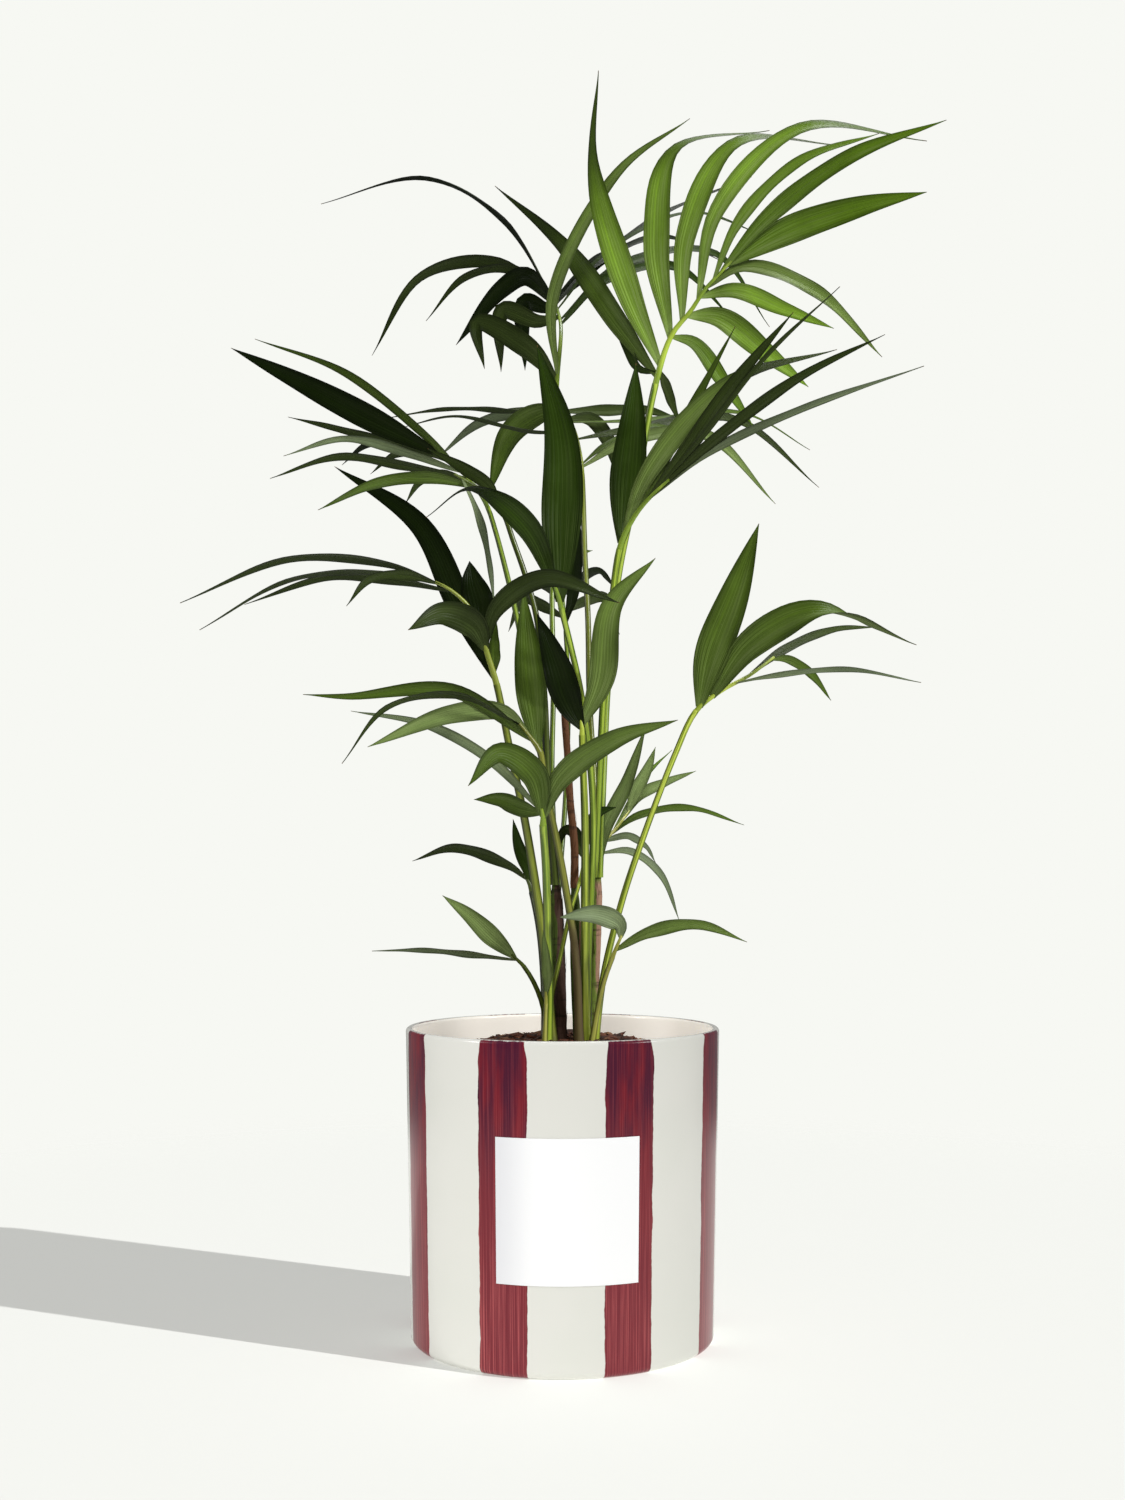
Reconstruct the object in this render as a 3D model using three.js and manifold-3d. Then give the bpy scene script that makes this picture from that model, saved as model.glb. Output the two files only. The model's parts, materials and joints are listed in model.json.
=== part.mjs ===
// Kentia palm in a striped glazed pot. Millimetres, +Z up, the origin at the centre of the pot's flat
// underside, the front towards -Y.
import * as THREE from 'three';
import Module from 'manifold-3d';

const wasm = await Module();
wasm.setup();

// ---- driving dimensions ---------------------------------------------------------------------------
const GAP = 0.3;

const POT_HEIGHT = 207;
const POT_RIM_RADIUS = 104;
const POT_FOOT_RADIUS = 100.5;
const POT_FOOT_ROUND = 5;
const POT_WALL = 5;
const POT_FLOOR = 8;
const POT_SIDES = 48;

const SOIL_TOP = 199;
const SOIL_PLATEAU_RADIUS = 46;
const SOIL_EDGE = 184;
const SOIL_LINE = SOIL_TOP + GAP;

const LABEL_FROM = -23.4;
const LABEL_TO = 27.1;
const LABEL_LOW = 58;
const LABEL_HIGH = 148;
const LABEL_THICK = 0.4;
const LABEL_STEPS = 12;

// The plant is laid out on a front elevation: across and up in the plane y = 0, as seen by an eye
// straight in front of it. A point with a depth slides along its own sight line.
const EYE_BACK = 1150;
const EYE_UP = 313;

const TRUNK_SIDES = 8;
const STALK_SIDES = 6;
const STALK_STEP = 48;
const RIB_SIDES = 5;
const RIB_STEP = 22;
const RIB_TIP_RADIUS = 0.9;
const LEAF_FOOT_CLEAR = 3;
const LEAF_STATIONS = [0, 0.07, 0.2, 0.38, 0.6, 0.82, 1];
const LEAF_WIDEST = 0.38;
const LEAF_FOOT_SHARE = 0.2;
const LEAF_MIN_THICK = 1.3;
const LEAF_THICK_SHARE = 0.011;
const LEAF_FOLD = 0.16;

const COLOURS = {
  glaze: 0xe8e8e2,
  label: 0xfdfdfb,
  soil: 0x4b2a1a,
  trunk: 0x5a5230,
  stalk: 0x9cb344,
  leaf: 0x3f6a2a,
};

// ---- the plant's own sizes ------------------------------------------------------------------------
// A trunk: its name, its radius at the soil and at its tip, and its centre line as
// [across, up, depth] points.
const TRUNKS = [
  ['trunk_left', 4.9, 4.3, [[-1.6, 199, 0], [-2.6, 250, 1], [-4.6, 305, 2]]],
  ['trunk_centre', 4, 3.6, [[11, 199, 1], [9, 245, 0], [8, 303, -2]]],
  ['trunk_right', 4, 3.9, [[19, 199, 7], [20.8, 235, 8], [22.2, 268, 8], [23.6, 310, 9]]],
  ['trunk_back', 4.2, 3.4, [[-3, 199, 14], [-3, 240, 18], [-3, 288, 24]]],
];

// A frond: its stalk from foot to lowest leaflet and its rib from there on, both as [across, up,
// depth] points, the stalk's radius at its foot and its top, and its leaflets. A leaflet is a row of
// its place on the rib (0 foot, 1 tip), the elevation of its rise, of its crest and of its tip, the
// depth of its tip, the width of its blade, and the blade's roll away from the eye in degrees; where
// the blade twists, its roll at the tip comes last.
const FRONDS = {
  crown_right: {
    foot: 2.2, top: 2.3,
    stalk: [[25, 311, 7], [28, 390, 14], [30, 431, 16], [37, 505, 18], [49, 565, 12], [62, 635, 2]],
    rib: [[73, 668, -4], [85, 683, -8], [95, 698, -14], [105, 709, -20], [113, 717, -26]],
    leaves: [
      [0.13, 45, 695, 21, 781, 24, 844, -48, 18, 8],
      [0.05, 38, 675, 1, 727, -45, 767, 84, 16, 12, 44],
      [0.33, 63, 731, 75, 791, 138, 804, -14, 18, 12, 78],
      [0.47, 83, 735, 115, 795, 188, 794, -40, 15, 16, 76],
      [0.65, 103, 750, 158, 805, 243, 797, -66, 12, 20, 66],
      [0.82, 118, 743, 158, 783, 211, 802, -96, 10, 40],
      [0.90, 135, 744, 191, 786, 256, 811, -118, 12, 20],
      [0.98, 148, 736, 198, 753, 243, 763, -92, 18, 8],
      [0.74, 121, 713, 168, 697, 213, 653, -72, 11, 36],
      [0.67, 115, 697, 147, 685, 181, 672, -20, 12, 20],
      [0.52, 105, 679, 134, 657, 164, 633, 12, 16, 10],
      [0.34, 88, 662, 106, 638, 127, 607, 34, 11, 14],
      [0.10, 69, 633, 72, 624, 78, 609, 22, 8, 30],
      [0.08, 51, 646, 41, 668, 20, 709, 58, 10, 40],
    ],
  },
  crown_left: {
    foot: 1.8, top: 1.8,
    stalk: [[-4, 306, 4], [-7, 371, 10], [-6, 438, 16], [-7, 491, 22], [-5, 571, 32], [-4, 631, 42]],
    rib: [[-1, 670, 60], [-3, 683, 85], [-8, 695, 120]],
    leaves: [
      [0.98, -39, 745, -92, 773, -161, 755, 196, 11, 72],
      [0.94, -45, 717, -96, 706, -127, 654, 214, 11, 36],
      [0.86, -34, 712, -66, 706, -91, 677, 172, 9, 40],
      [0.80, -25, 707, -41, 698, -71, 661, 150, 14, 6],
      [0.06, -24, 660, -57, 676, -52, 645, 66, 16, 8],
      [0.58, -16, 677, -40, 684, -41, 643, 96, 13, 12],
      [0.68, -12, 686, -25, 689, -25, 644, 124, 13, 6],
      [0.08, -6, 693, 37, 776, 85, 812, -24, 10, 22],
      [0.90, 23, 717, 65, 747, 126, 773, 188, 9, 66],
      [0.78, 23, 715, 68, 733, 106, 717, 176, 9, 56],
      [0.70, 28, 721, 85, 749, 137, 733, 146, 9, 70],
      [0.52, 38, 713, 101, 722, 138, 673, 116, 9, 50],
      [0.46, 28, 704, 75, 713, 113, 679, 90, 9, 36],
      [0.84, 11, 705, 31, 720, 65, 710, 150, 10, 12],
    ],
  },
  back_arch: {
    foot: 2.3, top: 1.9,
    stalk: [[13, SOIL_LINE, 11], [19, 291, 22], [22, 345, 30], [18, 425, 42], [17, 478, 48], [15, 518, 54],
      [13, 575, 66]],
    rib: [[11, 591, 84], [7, 606, 118], [1, 615, 152], [-7, 619, 190]],
    leaves: [
      [0.06, 31, 595, 61, 607, 91, 599, 106, 8, 56],
      [0.30, 45, 604, 115, 611, 171, 566, 170, 10, 44],
      [0.55, 51, 610, 121, 615, 165, 591, 236, 9, 68],
      [0.04, 45, 597, 95, 601, 142, 555, 62, 10, 30],
      [0.80, 28, 617, 58, 617, 85, 608, 254, 10, 30],
      [0.62, 19, 611, 30, 598, 39, 568, 200, 12, 10],
      [0.84, -22, 617, -75, 619, -119, 612, 262, 9, 64],
      [0.40, -22, 604, -72, 614, -107, 606, 170, 9, 70],
      [0.96, -19, 618, -56, 609, -83, 586, 270, 10, 30],
      [0.70, -14, 616, -35, 602, -49, 562, 214, 19, 8],
    ],
  },
  left_upper: {
    foot: 1.7, top: 1.6,
    stalk: [[-8, 306, 4], [-13, 385, 16], [-22, 438, 24], [-33, 491, 32], [-45, 538, 38], [-50, 553, 41]],
    rib: [[-57, 565, 46], [-69, 578, 54], [-82, 588, 64], [-92, 593, 74]],
    leaves: [
      [0.40, -89, 599, -145, 643, -205, 665, 118, 9, 44],
      [0.80, -122, 609, -172, 635, -221, 659, 78, 18, 6],
      [0.70, -112, 595, -152, 606, -183, 613, 128, 9, 40],
      [0.45, -99, 588, -145, 599, -186, 587, 34, 9, 44],
      [0.36, -105, 581, -149, 587, -195, 572, 4, 9, 44],
      [0.92, -116, 598, -132, 594, -147, 581, 132, 8, 30],
      [0.62, -89, 590, -112, 588, -128, 575, 104, 8, 30],
      [0.18, -79, 575, -95, 570, -105, 555, 6, 8, 30],
    ],
  },
  left_inner: {
    foot: 1.8, top: 1.6,
    stalk: [[-5, 306, -1], [-10, 371, -8], [-12, 425, -14], [-17, 478, -20], [-24, 505, -24],
      [-33, 531, -28], [-40, 550, -32]],
    rib: [[-49, 561, -38], [-62, 569, -46], [-72, 575, -54]],
    leaves: [
      [0.55, -89, 573, -125, 569, -163, 551, -104, 9, 28],
      [0.05, -50, 568, -66, 579, -90, 592, -30, 9, 14],
      [0.85, -57, 548, -50, 519, -45, 483, -48, 9, 58],
    ],
  },
  centre: {
    foot: 2.4, top: 1.9,
    stalk: [[17, SOIL_LINE, -3], [17.3, 255, -8], [19.3, 298, -13], [20, 358, -26], [13, 425, -50], [6, 458, -66],
      [-1, 486, -82]],
    rib: [[-3, 494, -86], [-6, 503, -91]],
    leaves: [
      [0.20, -1, 531, -1, 598, -17, 661, -58, 26, 0],
      [0.75, -23, 540, -60, 566, -91, 546, -142, 15, 10, 84],
    ],
  },
  right_mid: {
    foot: 2.1, top: 2.1,
    stalk: [[22, 311, 2], [24, 358, -8], [27, 425, -20], [33, 491, -32], [38, 525, -40]],
    rib: [[43, 538, -46], [51, 551, -54], [61, 562, -64], [71, 571, -74]],
    leaves: [
      [0.06, 42, 558, 47, 611, 49, 649, -22, 23, 4],
      [0.12, 57, 575, 112, 636, 183, 658, -92, 14, 14, 50],
      [0.50, 70, 586, 91, 627, 115, 673, -52, 10, 46],
      [0.65, 81, 588, 115, 636, 154, 683, -112, 11, 20],
      [0.78, 95, 601, 138, 655, 185, 700, -146, 9, 66],
      [0.90, 101, 597, 158, 639, 215, 668, -162, 9, 34],
      [0.62, 95, 587, 158, 617, 241, 647, -190, 9, 54],
    ],
  },
  left_mid: {
    foot: 2.3, top: 1.7,
    stalk: [[-7, SOIL_LINE, -10], [-13, 265, -20], [-24, 338, -34], [-35, 391, -46], [-44, 435, -56]],
    rib: [[-51, 458, -62], [-54, 471, -66], [-62, 486, -72], [-75, 498, -78], [-85, 503, -82]],
    leaves: [
      [0.04, -67, 484, -95, 541, -152, 580, -46, 17, 6],
      [0.90, -115, 515, -182, 519, -255, 489, -146, 10, 60],
      [0.95, -122, 510, -182, 505, -242, 471, -104, 9, 68],
      [0.84, -109, 504, -155, 507, -212, 488, -66, 9, 50],
      [0.98, -105, 508, -129, 505, -144, 487, -122, 8, 36],
      [0.28, -60, 475, -80, 482, -103, 471, -104, 18, 4],
      [0.50, -56, 488, -60, 503, -62, 517, -66, 20, 4],
      [0.32, -44, 485, -12, 505, 38, 489, -146, 13, 14],
      [0.08, -45, 451, -45, 464, -44, 477, -60, 8, 20],
    ],
  },
  low_left_front: {
    foot: 2.8, top: 2.1,
    stalk: [[11, SOIL_LINE, -16], [9, 251, -24], [0, 311, -36], [-11, 365, -48], [-15, 390, -54]],
    rib: [[-19, 396, -56], [-29, 409, -62]],
    leaves: [
      [0.12, -19, 415, -23, 455, -26, 498, -52, 20, 4],
      [0.35, -72, 431, -144, 427, -173, 428, -118, 11, 34],
      [0.50, -39, 416, -75, 415, -130, 393, -88, 13, 10],
      [0.95, -70, 428, -117, 420, -147, 382, -160, 8, 58],
    ],
  },
  low_left_broad: {
    foot: 2.2, top: 1.9,
    stalk: [[-10, SOIL_LINE, -19], [-9, 225, -26], [-10, 271, -42], [-11, 311, -60], [-13, 341, -76]],
    rib: [[-13, 346, -78], [-14, 352, -81]],
    leaves: [
      [0.40, -2, 371, 35, 398, 77, 411, -122, 15, 8],
      [0.50, -19, 375, -42, 389, -63, 367, -118, 17, 4],
      [0.80, -48, 385, -90, 408, -141, 417, -36, 8, 30],
      [0.70, -26, 352, -42, 358, -59, 358, -34, 12, 16],
    ],
  },
  mid_pair: {
    foot: 3.4, top: 2.1,
    stalk: [[15, SOIL_LINE, -9], [15, 291, -26], [15, 340, -40], [13, 401, -54]],
    rib: [[13, 406, -55], [12, 412, -56]],
    leaves: [
      [0.60, 26, 438, 33, 487, 62, 519, -78, 18, 4],
      [0.40, 5, 421, -5, 451, -17, 482, -74, 20, 4],
    ],
  },
  right_low: {
    foot: 2.4, top: 1.9,
    stalk: [[22, SOIL_LINE, -6], [27.5, 241, -9], [39, 288, -13], [51, 325, -16], [75, 388, -10],
      [89, 417, -6]],
    rib: [[105, 430, -2], [125, 441, 4], [141, 453, 10]],
    leaves: [
      [0.05, 98, 450, 115, 495, 131, 542, -26, 24, 4],
      [0.22, 125, 461, 171, 483, 236, 461, -64, 21, 6, 112],
      [0.65, 151, 459, 181, 471, 211, 473, 76, 9, 44],
      [0.95, 150, 451, 166, 441, 179, 424, 60, 8, 34],
      [0.50, 141, 440, 191, 444, 239, 436, -80, 8, 60],
    ],
  },
  right_cluster: {
    foot: 2.1, top: 1.6,
    stalk: [[17, SOIL_LINE, 17], [17.5, 250, 26], [20, 288, 38], [25, 309, 49]],
    rib: [[25, 326, 60], [35, 338, 70], [45, 351, 84]],
    leaves: [
      [0.10, 28, 337, 43, 369, 56, 408, 40, 11, 12],
      [0.95, 49, 363, 57, 379, 62, 393, 110, 10, 12],
      [0.60, 46, 356, 59, 377, 73, 391, 140, 8, 58],
      [0.80, 51, 360, 68, 369, 89, 377, 134, 9, 24],
      [0.50, 51, 347, 85, 352, 121, 341, 172, 8, 44],
      [0.42, 43, 333, 55, 327, 62, 316, 120, 8, 44],
      [0.25, 45, 323, 65, 308, 78, 277, 74, 8, 44],
    ],
  },
  low_right: {
    foot: 1.9, top: 1.6,
    stalk: [[20, SOIL_LINE, -15], [23.5, 218, -20], [28, 238, -27], [33.5, 253, -34]],
    rib: [[36, 259.5, -38], [39.5, 267.5, -42]],
    leaves: [
      [0.90, 38, 274.5, 24, 281.5, -2, 279.5, -64, 13.5, 8],
      [0.30, 58, 269, 91, 274, 123, 263, -72, 10, 32],
    ],
  },
  low_left: {
    foot: 1.9, top: 1.5,
    stalk: [[-12, SOIL_LINE, -1], [-12.6, 218, -5], [-18.6, 235, -11], [-26, 247, -16]],
    rib: [[-30, 251, -19], [-34, 255, -22]],
    leaves: [
      [0.70, -44, 264, -62, 281, -80, 294, -56, 13, 12],
      [0.50, -59, 255, -92, 258, -127, 257, -30, 8, 58],
    ],
  },
  stub_left: {
    foot: 1.9, top: 1.5,
    stalk: [[-11, SOIL_LINE, 9], [-12, 238, 20], [-15, 271, 34], [-20, 296, 48]],
    rib: [[-22, 302, 52], [-25, 307, 55]],
    leaves: [
      [0.80, -35, 314, -72, 326, -100, 317, 102, 10, 34],
      [0.40, -23, 312, -29, 327, -33, 345, 66, 10, 16],
    ],
  },
  back_mid: {
    foot: 1.9, top: 1.5,
    stalk: [[-3, 293, 25], [2, 360, 44], [4, 430, 66], [2, 470, 86]],
    rib: [[1, 484, 102], [0, 494, 122], [-2, 500, 146]],
    leaves: [
      [0.08, 8, 500, 8, 540, 3, 590, 124, 12, 20],
      [0.20, -14, 488, -26, 492, -36, 470, 172, 10, 30],
      [0.28, 16, 490, 28, 492, 38, 468, 178, 10, 30],
      [0.55, -12, 502, -22, 506, -32, 490, 226, 10, 40],
      [0.62, 12, 504, 24, 510, 36, 498, 234, 10, 40],
      [0.92, -6, 512, -10, 524, -8, 540, 236, 11, 30],
      [0.97, 6, 512, 12, 522, 20, 524, 262, 10, 30],
    ],
  },
  small_leaf: {
    foot: 1.7, top: 1.3,
    stalk: [[-12, SOIL_LINE, -27], [-11, 222, -33]],
    rib: [[-11, 226, -34], [-11, 230, -36]],
    leaves: [
      [0.60, -10, 238, -11, 255, -13, 271, -60, 7, 16],
    ],
  },
  back_low: {
    foot: 1.8, top: 1.4,
    stalk: [[-9.5, SOIL_LINE, -4], [-7.5, 225, -8], [-1, 255, -12], [5.5, 284, -12], [11.5, 303, -10]],
    rib: [[15, 320, -3], [18, 333, 3]],
    leaves: [
      [0.80, 18, 339, 24, 349, 36, 353, 4, 9, 12],
      [0.50, 7, 337, 1, 337, -3, 325, 18, 9, 12],
    ],
  },
};

const DRY_STALK = ['dry_stalk', 2.8, 2.2,
  [[8, 304, -2], [8, 325, -3], [5, 358, -7], [3, 391, -13], [0, 425, -20]]];

// ---- closed meshes --------------------------------------------------------------------------------
// Skins a row of rings into one closed body. Every ring has the same number of corners, in the same
// order, except that the last may be a single point.
function loft(rings) {
  const count = rings[0].length;
  const positions = [];
  for (const ring of rings) {
    for (const corner of ring) positions.push(corner.x, corner.y, corner.z);
  }
  const faces = [];
  for (let i = 1; i < count - 1; i += 1) faces.push(0, i + 1, i);
  for (let r = 0; r < rings.length - 1; r += 1) {
    const low = r * count;
    const high = low + count;
    const pointed = rings[r + 1].length === 1;
    for (let i = 0; i < count; i += 1) {
      const j = (i + 1) % count;
      if (pointed) {
        faces.push(low + i, low + j, high);
      } else {
        faces.push(low + i, low + j, high + j);
        faces.push(low + i, high + j, high + i);
      }
    }
  }
  if (rings[rings.length - 1].length > 1) {
    const last = (rings.length - 1) * count;
    for (let i = 1; i < count - 1; i += 1) faces.push(last, last + i, last + i + 1);
  }
  const geometry = new THREE.BufferGeometry();
  geometry.setAttribute('position', new THREE.Float32BufferAttribute(positions, 3));
  geometry.setIndex(faces);
  return geometry;
}

function toSolid(geometry) {
  return new wasm.Manifold(new wasm.Mesh({
    numProp: 3,
    vertProperties: new Float32Array(geometry.attributes.position.array),
    triVerts: new Uint32Array(geometry.index.array),
  }));
}

function toGeometry(solid) {
  const mesh = solid.getMesh();
  const geometry = new THREE.BufferGeometry();
  geometry.setAttribute('position', new THREE.Float32BufferAttribute(mesh.vertProperties, 3));
  geometry.setIndex(Array.from(mesh.triVerts));
  return geometry;
}

function joined(geometries) {
  return toGeometry(geometries.map(toSolid).reduce((whole, piece) => whole.add(piece)));
}

// ---- curves ---------------------------------------------------------------------------------------
function place([across, up, depth]) {
  const grow = 1 + depth / EYE_BACK;
  return new THREE.Vector3(across * grow, depth, EYE_UP + (up - EYE_UP) * grow);
}

function curveThrough(points) {
  const curve = new THREE.CatmullRomCurve3(points, false, 'centripetal');
  curve.arcLengthDivisions = 400;
  curve.updateArcLengths();
  return curve;
}

function ringAround(centre, along, radius, sides) {
  const first = new THREE.Vector3(0, 1, 0).addScaledVector(along, -along.y).normalize();
  const second = new THREE.Vector3().crossVectors(along, first);
  const ring = [];
  for (let i = 0; i < sides; i += 1) {
    const angle = (2 * Math.PI * i) / sides;
    ring.push(centre.clone()
      .addScaledVector(first, radius * Math.cos(angle))
      .addScaledVector(second, radius * Math.sin(angle)));
  }
  return ring;
}

// A tapering limb along a curve between two distances from its start. A limb with a level foot is cut
// flat where it stands.
function limb(curve, from, to, radiusFrom, radiusTo, sides, step, levelFoot) {
  const length = curve.getLength();
  const steps = Math.max(1, Math.round((to - from) / step));
  const rings = [];
  for (let i = 0; i <= steps; i += 1) {
    const share = i / steps;
    const u = (from + (to - from) * share) / length;
    const radius = radiusFrom + (radiusTo - radiusFrom) * share;
    const along = i === 0 && levelFoot ? new THREE.Vector3(0, 0, 1) : curve.getTangentAt(u);
    rings.push(ringAround(curve.getPointAt(u), along, radius, sides));
  }
  return loft(rings);
}

// ---- leaves ---------------------------------------------------------------------------------------
function bladeShare(t) {
  if (t < LEAF_WIDEST) {
    return LEAF_FOOT_SHARE + (1 - LEAF_FOOT_SHARE) * Math.sin((Math.PI / 2) * (t / LEAF_WIDEST));
  }
  return 1 - ((t - LEAF_WIDEST) / (1 - LEAF_WIDEST)) ** 1.7;
}

function leafCurve(foot, row) {
  const [, riseX, riseZ, crestX, crestZ, tipX, tipZ, tipDepth] = row;
  const grow = 1 + foot.y / EYE_BACK;
  const stops = [
    [foot.x / grow, EYE_UP + (foot.z - EYE_UP) / grow],
    [riseX, riseZ],
    [crestX, crestZ],
    [tipX, tipZ],
  ];
  const travelled = [0];
  for (let i = 1; i < stops.length; i += 1) {
    const step = Math.hypot(stops[i][0] - stops[i - 1][0], stops[i][1] - stops[i - 1][1]);
    travelled.push(travelled[i - 1] + step);
  }
  const whole = travelled[travelled.length - 1];
  return curveThrough(stops.map(([across, up], i) => (
    place([across, up, foot.y + (tipDepth - foot.y) * (travelled[i] / whole)]))));
}

function leaf(foot, row) {
  const width = row[8];
  const [footRoll, tipRoll = footRoll] = row.slice(9);
  const curve = leafCurve(foot, row);
  const thick = Math.max(LEAF_MIN_THICK, LEAF_THICK_SHARE * curve.getLength());
  const eye = new THREE.Vector3(0, -EYE_BACK, EYE_UP);
  const rings = LEAF_STATIONS.map((t) => {
    const centre = curve.getPointAt(t);
    if (t === 1) return [centre];
    const along = curve.getTangentAt(t);
    const toEye = eye.clone().sub(centre);
    toEye.addScaledVector(along, -toEye.dot(along)).normalize();
    const across = new THREE.Vector3().crossVectors(along, toEye);
    const roll = THREE.MathUtils.degToRad(footRoll + (tipRoll - footRoll) * t);
    const side = across.clone().multiplyScalar(Math.cos(roll)).addScaledVector(toEye, Math.sin(roll));
    const face = new THREE.Vector3().crossVectors(side, along);
    const half = (width / 2) * bladeShare(t);
    const edge = (sign) => centre.clone()
      .addScaledVector(side, sign * half)
      .addScaledVector(face, half * LEAF_FOLD);
    const midrib = (sign) => centre.clone().addScaledVector(face, (sign * thick) / 2);
    return [edge(1), midrib(-1), edge(-1), midrib(1)];
  });
  return loft(rings);
}

// ---- nodes ----------------------------------------------------------------------------------------
const plant = new THREE.Group();
plant.name = 'kentia_palm';

function addNode(name, geometry, colour, roughness) {
  const material = new THREE.MeshStandardMaterial({ color: colour, roughness, metalness: 0 });
  const mesh = new THREE.Mesh(geometry, material);
  mesh.name = name;
  plant.add(mesh);
}

function turned(profile) {
  const geometry = new THREE.LatheGeometry(profile.map(([r, z]) => new THREE.Vector2(r, z)), POT_SIDES);
  return geometry.rotateX(Math.PI / 2);
}

function potRadius(z) {
  return POT_FOOT_RADIUS + (POT_RIM_RADIUS - POT_FOOT_RADIUS) * (z / POT_HEIGHT);
}

function potProfile() {
  const round = POT_FOOT_ROUND;
  const foot = [];
  for (const degrees of [0, 30, 60, 90]) {
    const angle = THREE.MathUtils.degToRad(degrees);
    foot.push([potRadius(round) - round + round * Math.sin(angle), round - round * Math.cos(angle)]);
  }
  const lip = [];
  const lipRadius = POT_WALL / 2;
  for (const degrees of [0, 45, 90, 135, 180]) {
    const angle = THREE.MathUtils.degToRad(degrees);
    lip.push([
      POT_RIM_RADIUS - lipRadius + lipRadius * Math.cos(angle),
      POT_HEIGHT - lipRadius + lipRadius * Math.sin(angle),
    ]);
  }
  const innerFoot = [potRadius(POT_FLOOR + round) - POT_WALL, POT_FLOOR + round];
  return [[0, 0], ...foot, ...lip, innerFoot, [innerFoot[0] - round, POT_FLOOR], [0, POT_FLOOR]];
}

function soilProfile() {
  const wall = POT_WALL + GAP;
  const round = POT_FOOT_ROUND;
  const low = POT_FLOOR + GAP;
  return [
    [0, low],
    [potRadius(low + round) - wall - round, low],
    [potRadius(low + round) - wall, low + round],
    [potRadius(SOIL_EDGE) - wall, SOIL_EDGE],
    [(SOIL_PLATEAU_RADIUS + POT_RIM_RADIUS) / 2, (SOIL_EDGE + SOIL_TOP) / 2],
    [SOIL_PLATEAU_RADIUS, SOIL_TOP],
    [0, SOIL_TOP],
  ];
}

// The label's sheet follows the pot's wall, GAP clear of it.
function labelSheet() {
  const rings = [];
  for (let i = 0; i <= LABEL_STEPS; i += 1) {
    const angle = THREE.MathUtils.degToRad(LABEL_FROM + ((LABEL_TO - LABEL_FROM) * i) / LABEL_STEPS);
    const corner = (z, proud) => {
      const radius = potRadius(z) + proud;
      return new THREE.Vector3(radius * Math.sin(angle), -radius * Math.cos(angle), z);
    };
    const back = GAP;
    const front = GAP + LABEL_THICK;
    rings.push([
      corner(LABEL_LOW, back), corner(LABEL_HIGH, back),
      corner(LABEL_HIGH, front), corner(LABEL_LOW, front),
    ]);
  }
  return loft(rings);
}

function addTrunk(name, radiusFoot, radiusTip, points) {
  const curve = curveThrough(points.map(([x, z, y]) => new THREE.Vector3(x, y, z + GAP)));
  const body = limb(curve, 0, curve.getLength(), radiusFoot, radiusTip, TRUNK_SIDES, STALK_STEP, true);
  addNode(name, body, COLOURS.trunk, 0.8);
}

function addFrond(name, frond) {
  const points = [...frond.stalk, ...frond.rib].map(place);
  if (frond.stalk[0][1] === SOIL_LINE) points[0].z = SOIL_LINE;
  const curve = curveThrough(points);
  const knee = points[frond.stalk.length - 1];
  const whole = curve.getLength();
  let split = 0;
  let nearest = Infinity;
  for (let s = 0; s <= whole; s += 0.25) {
    const away = curve.getPointAt(s / whole).distanceTo(knee);
    if (away < nearest) {
      nearest = away;
      split = s;
    }
  }
  const stalk = limb(curve, 0, split - GAP / 2, frond.foot, frond.top, STALK_SIDES, STALK_STEP, true);
  addNode(`stalk_${name}`, stalk, COLOURS.stalk, 0.5);
  const ribFrom = split + GAP / 2;
  const pieces = [limb(curve, ribFrom, whole, frond.top, RIB_TIP_RADIUS, RIB_SIDES, RIB_STEP, false)];
  for (const row of frond.leaves) {
    const start = ribFrom + Math.max(LEAF_FOOT_CLEAR, row[0] * (whole - ribFrom));
    const foot = curve.getPointAt(Math.min(1, start / whole));
    pieces.push(leaf(foot, row));
  }
  addNode(`frond_${name}`, joined(pieces), COLOURS.leaf, 0.45);
}

addNode('pot', turned(potProfile()), COLOURS.glaze, 0.2);
addNode('soil', turned(soilProfile()), COLOURS.soil, 0.95);
addNode('label', labelSheet(), COLOURS.label, 0.6);
for (const trunk of TRUNKS) addTrunk(...trunk);
addTrunk(...DRY_STALK);
for (const [name, frond] of Object.entries(FRONDS)) addFrond(name, frond);

export default plant;
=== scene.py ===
"""A kentia palm in a striped glazed pot.

Metres, +Z up, the origin at the centre of the pot's flat underside, the front towards -Y.
"""
import json
import math

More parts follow.
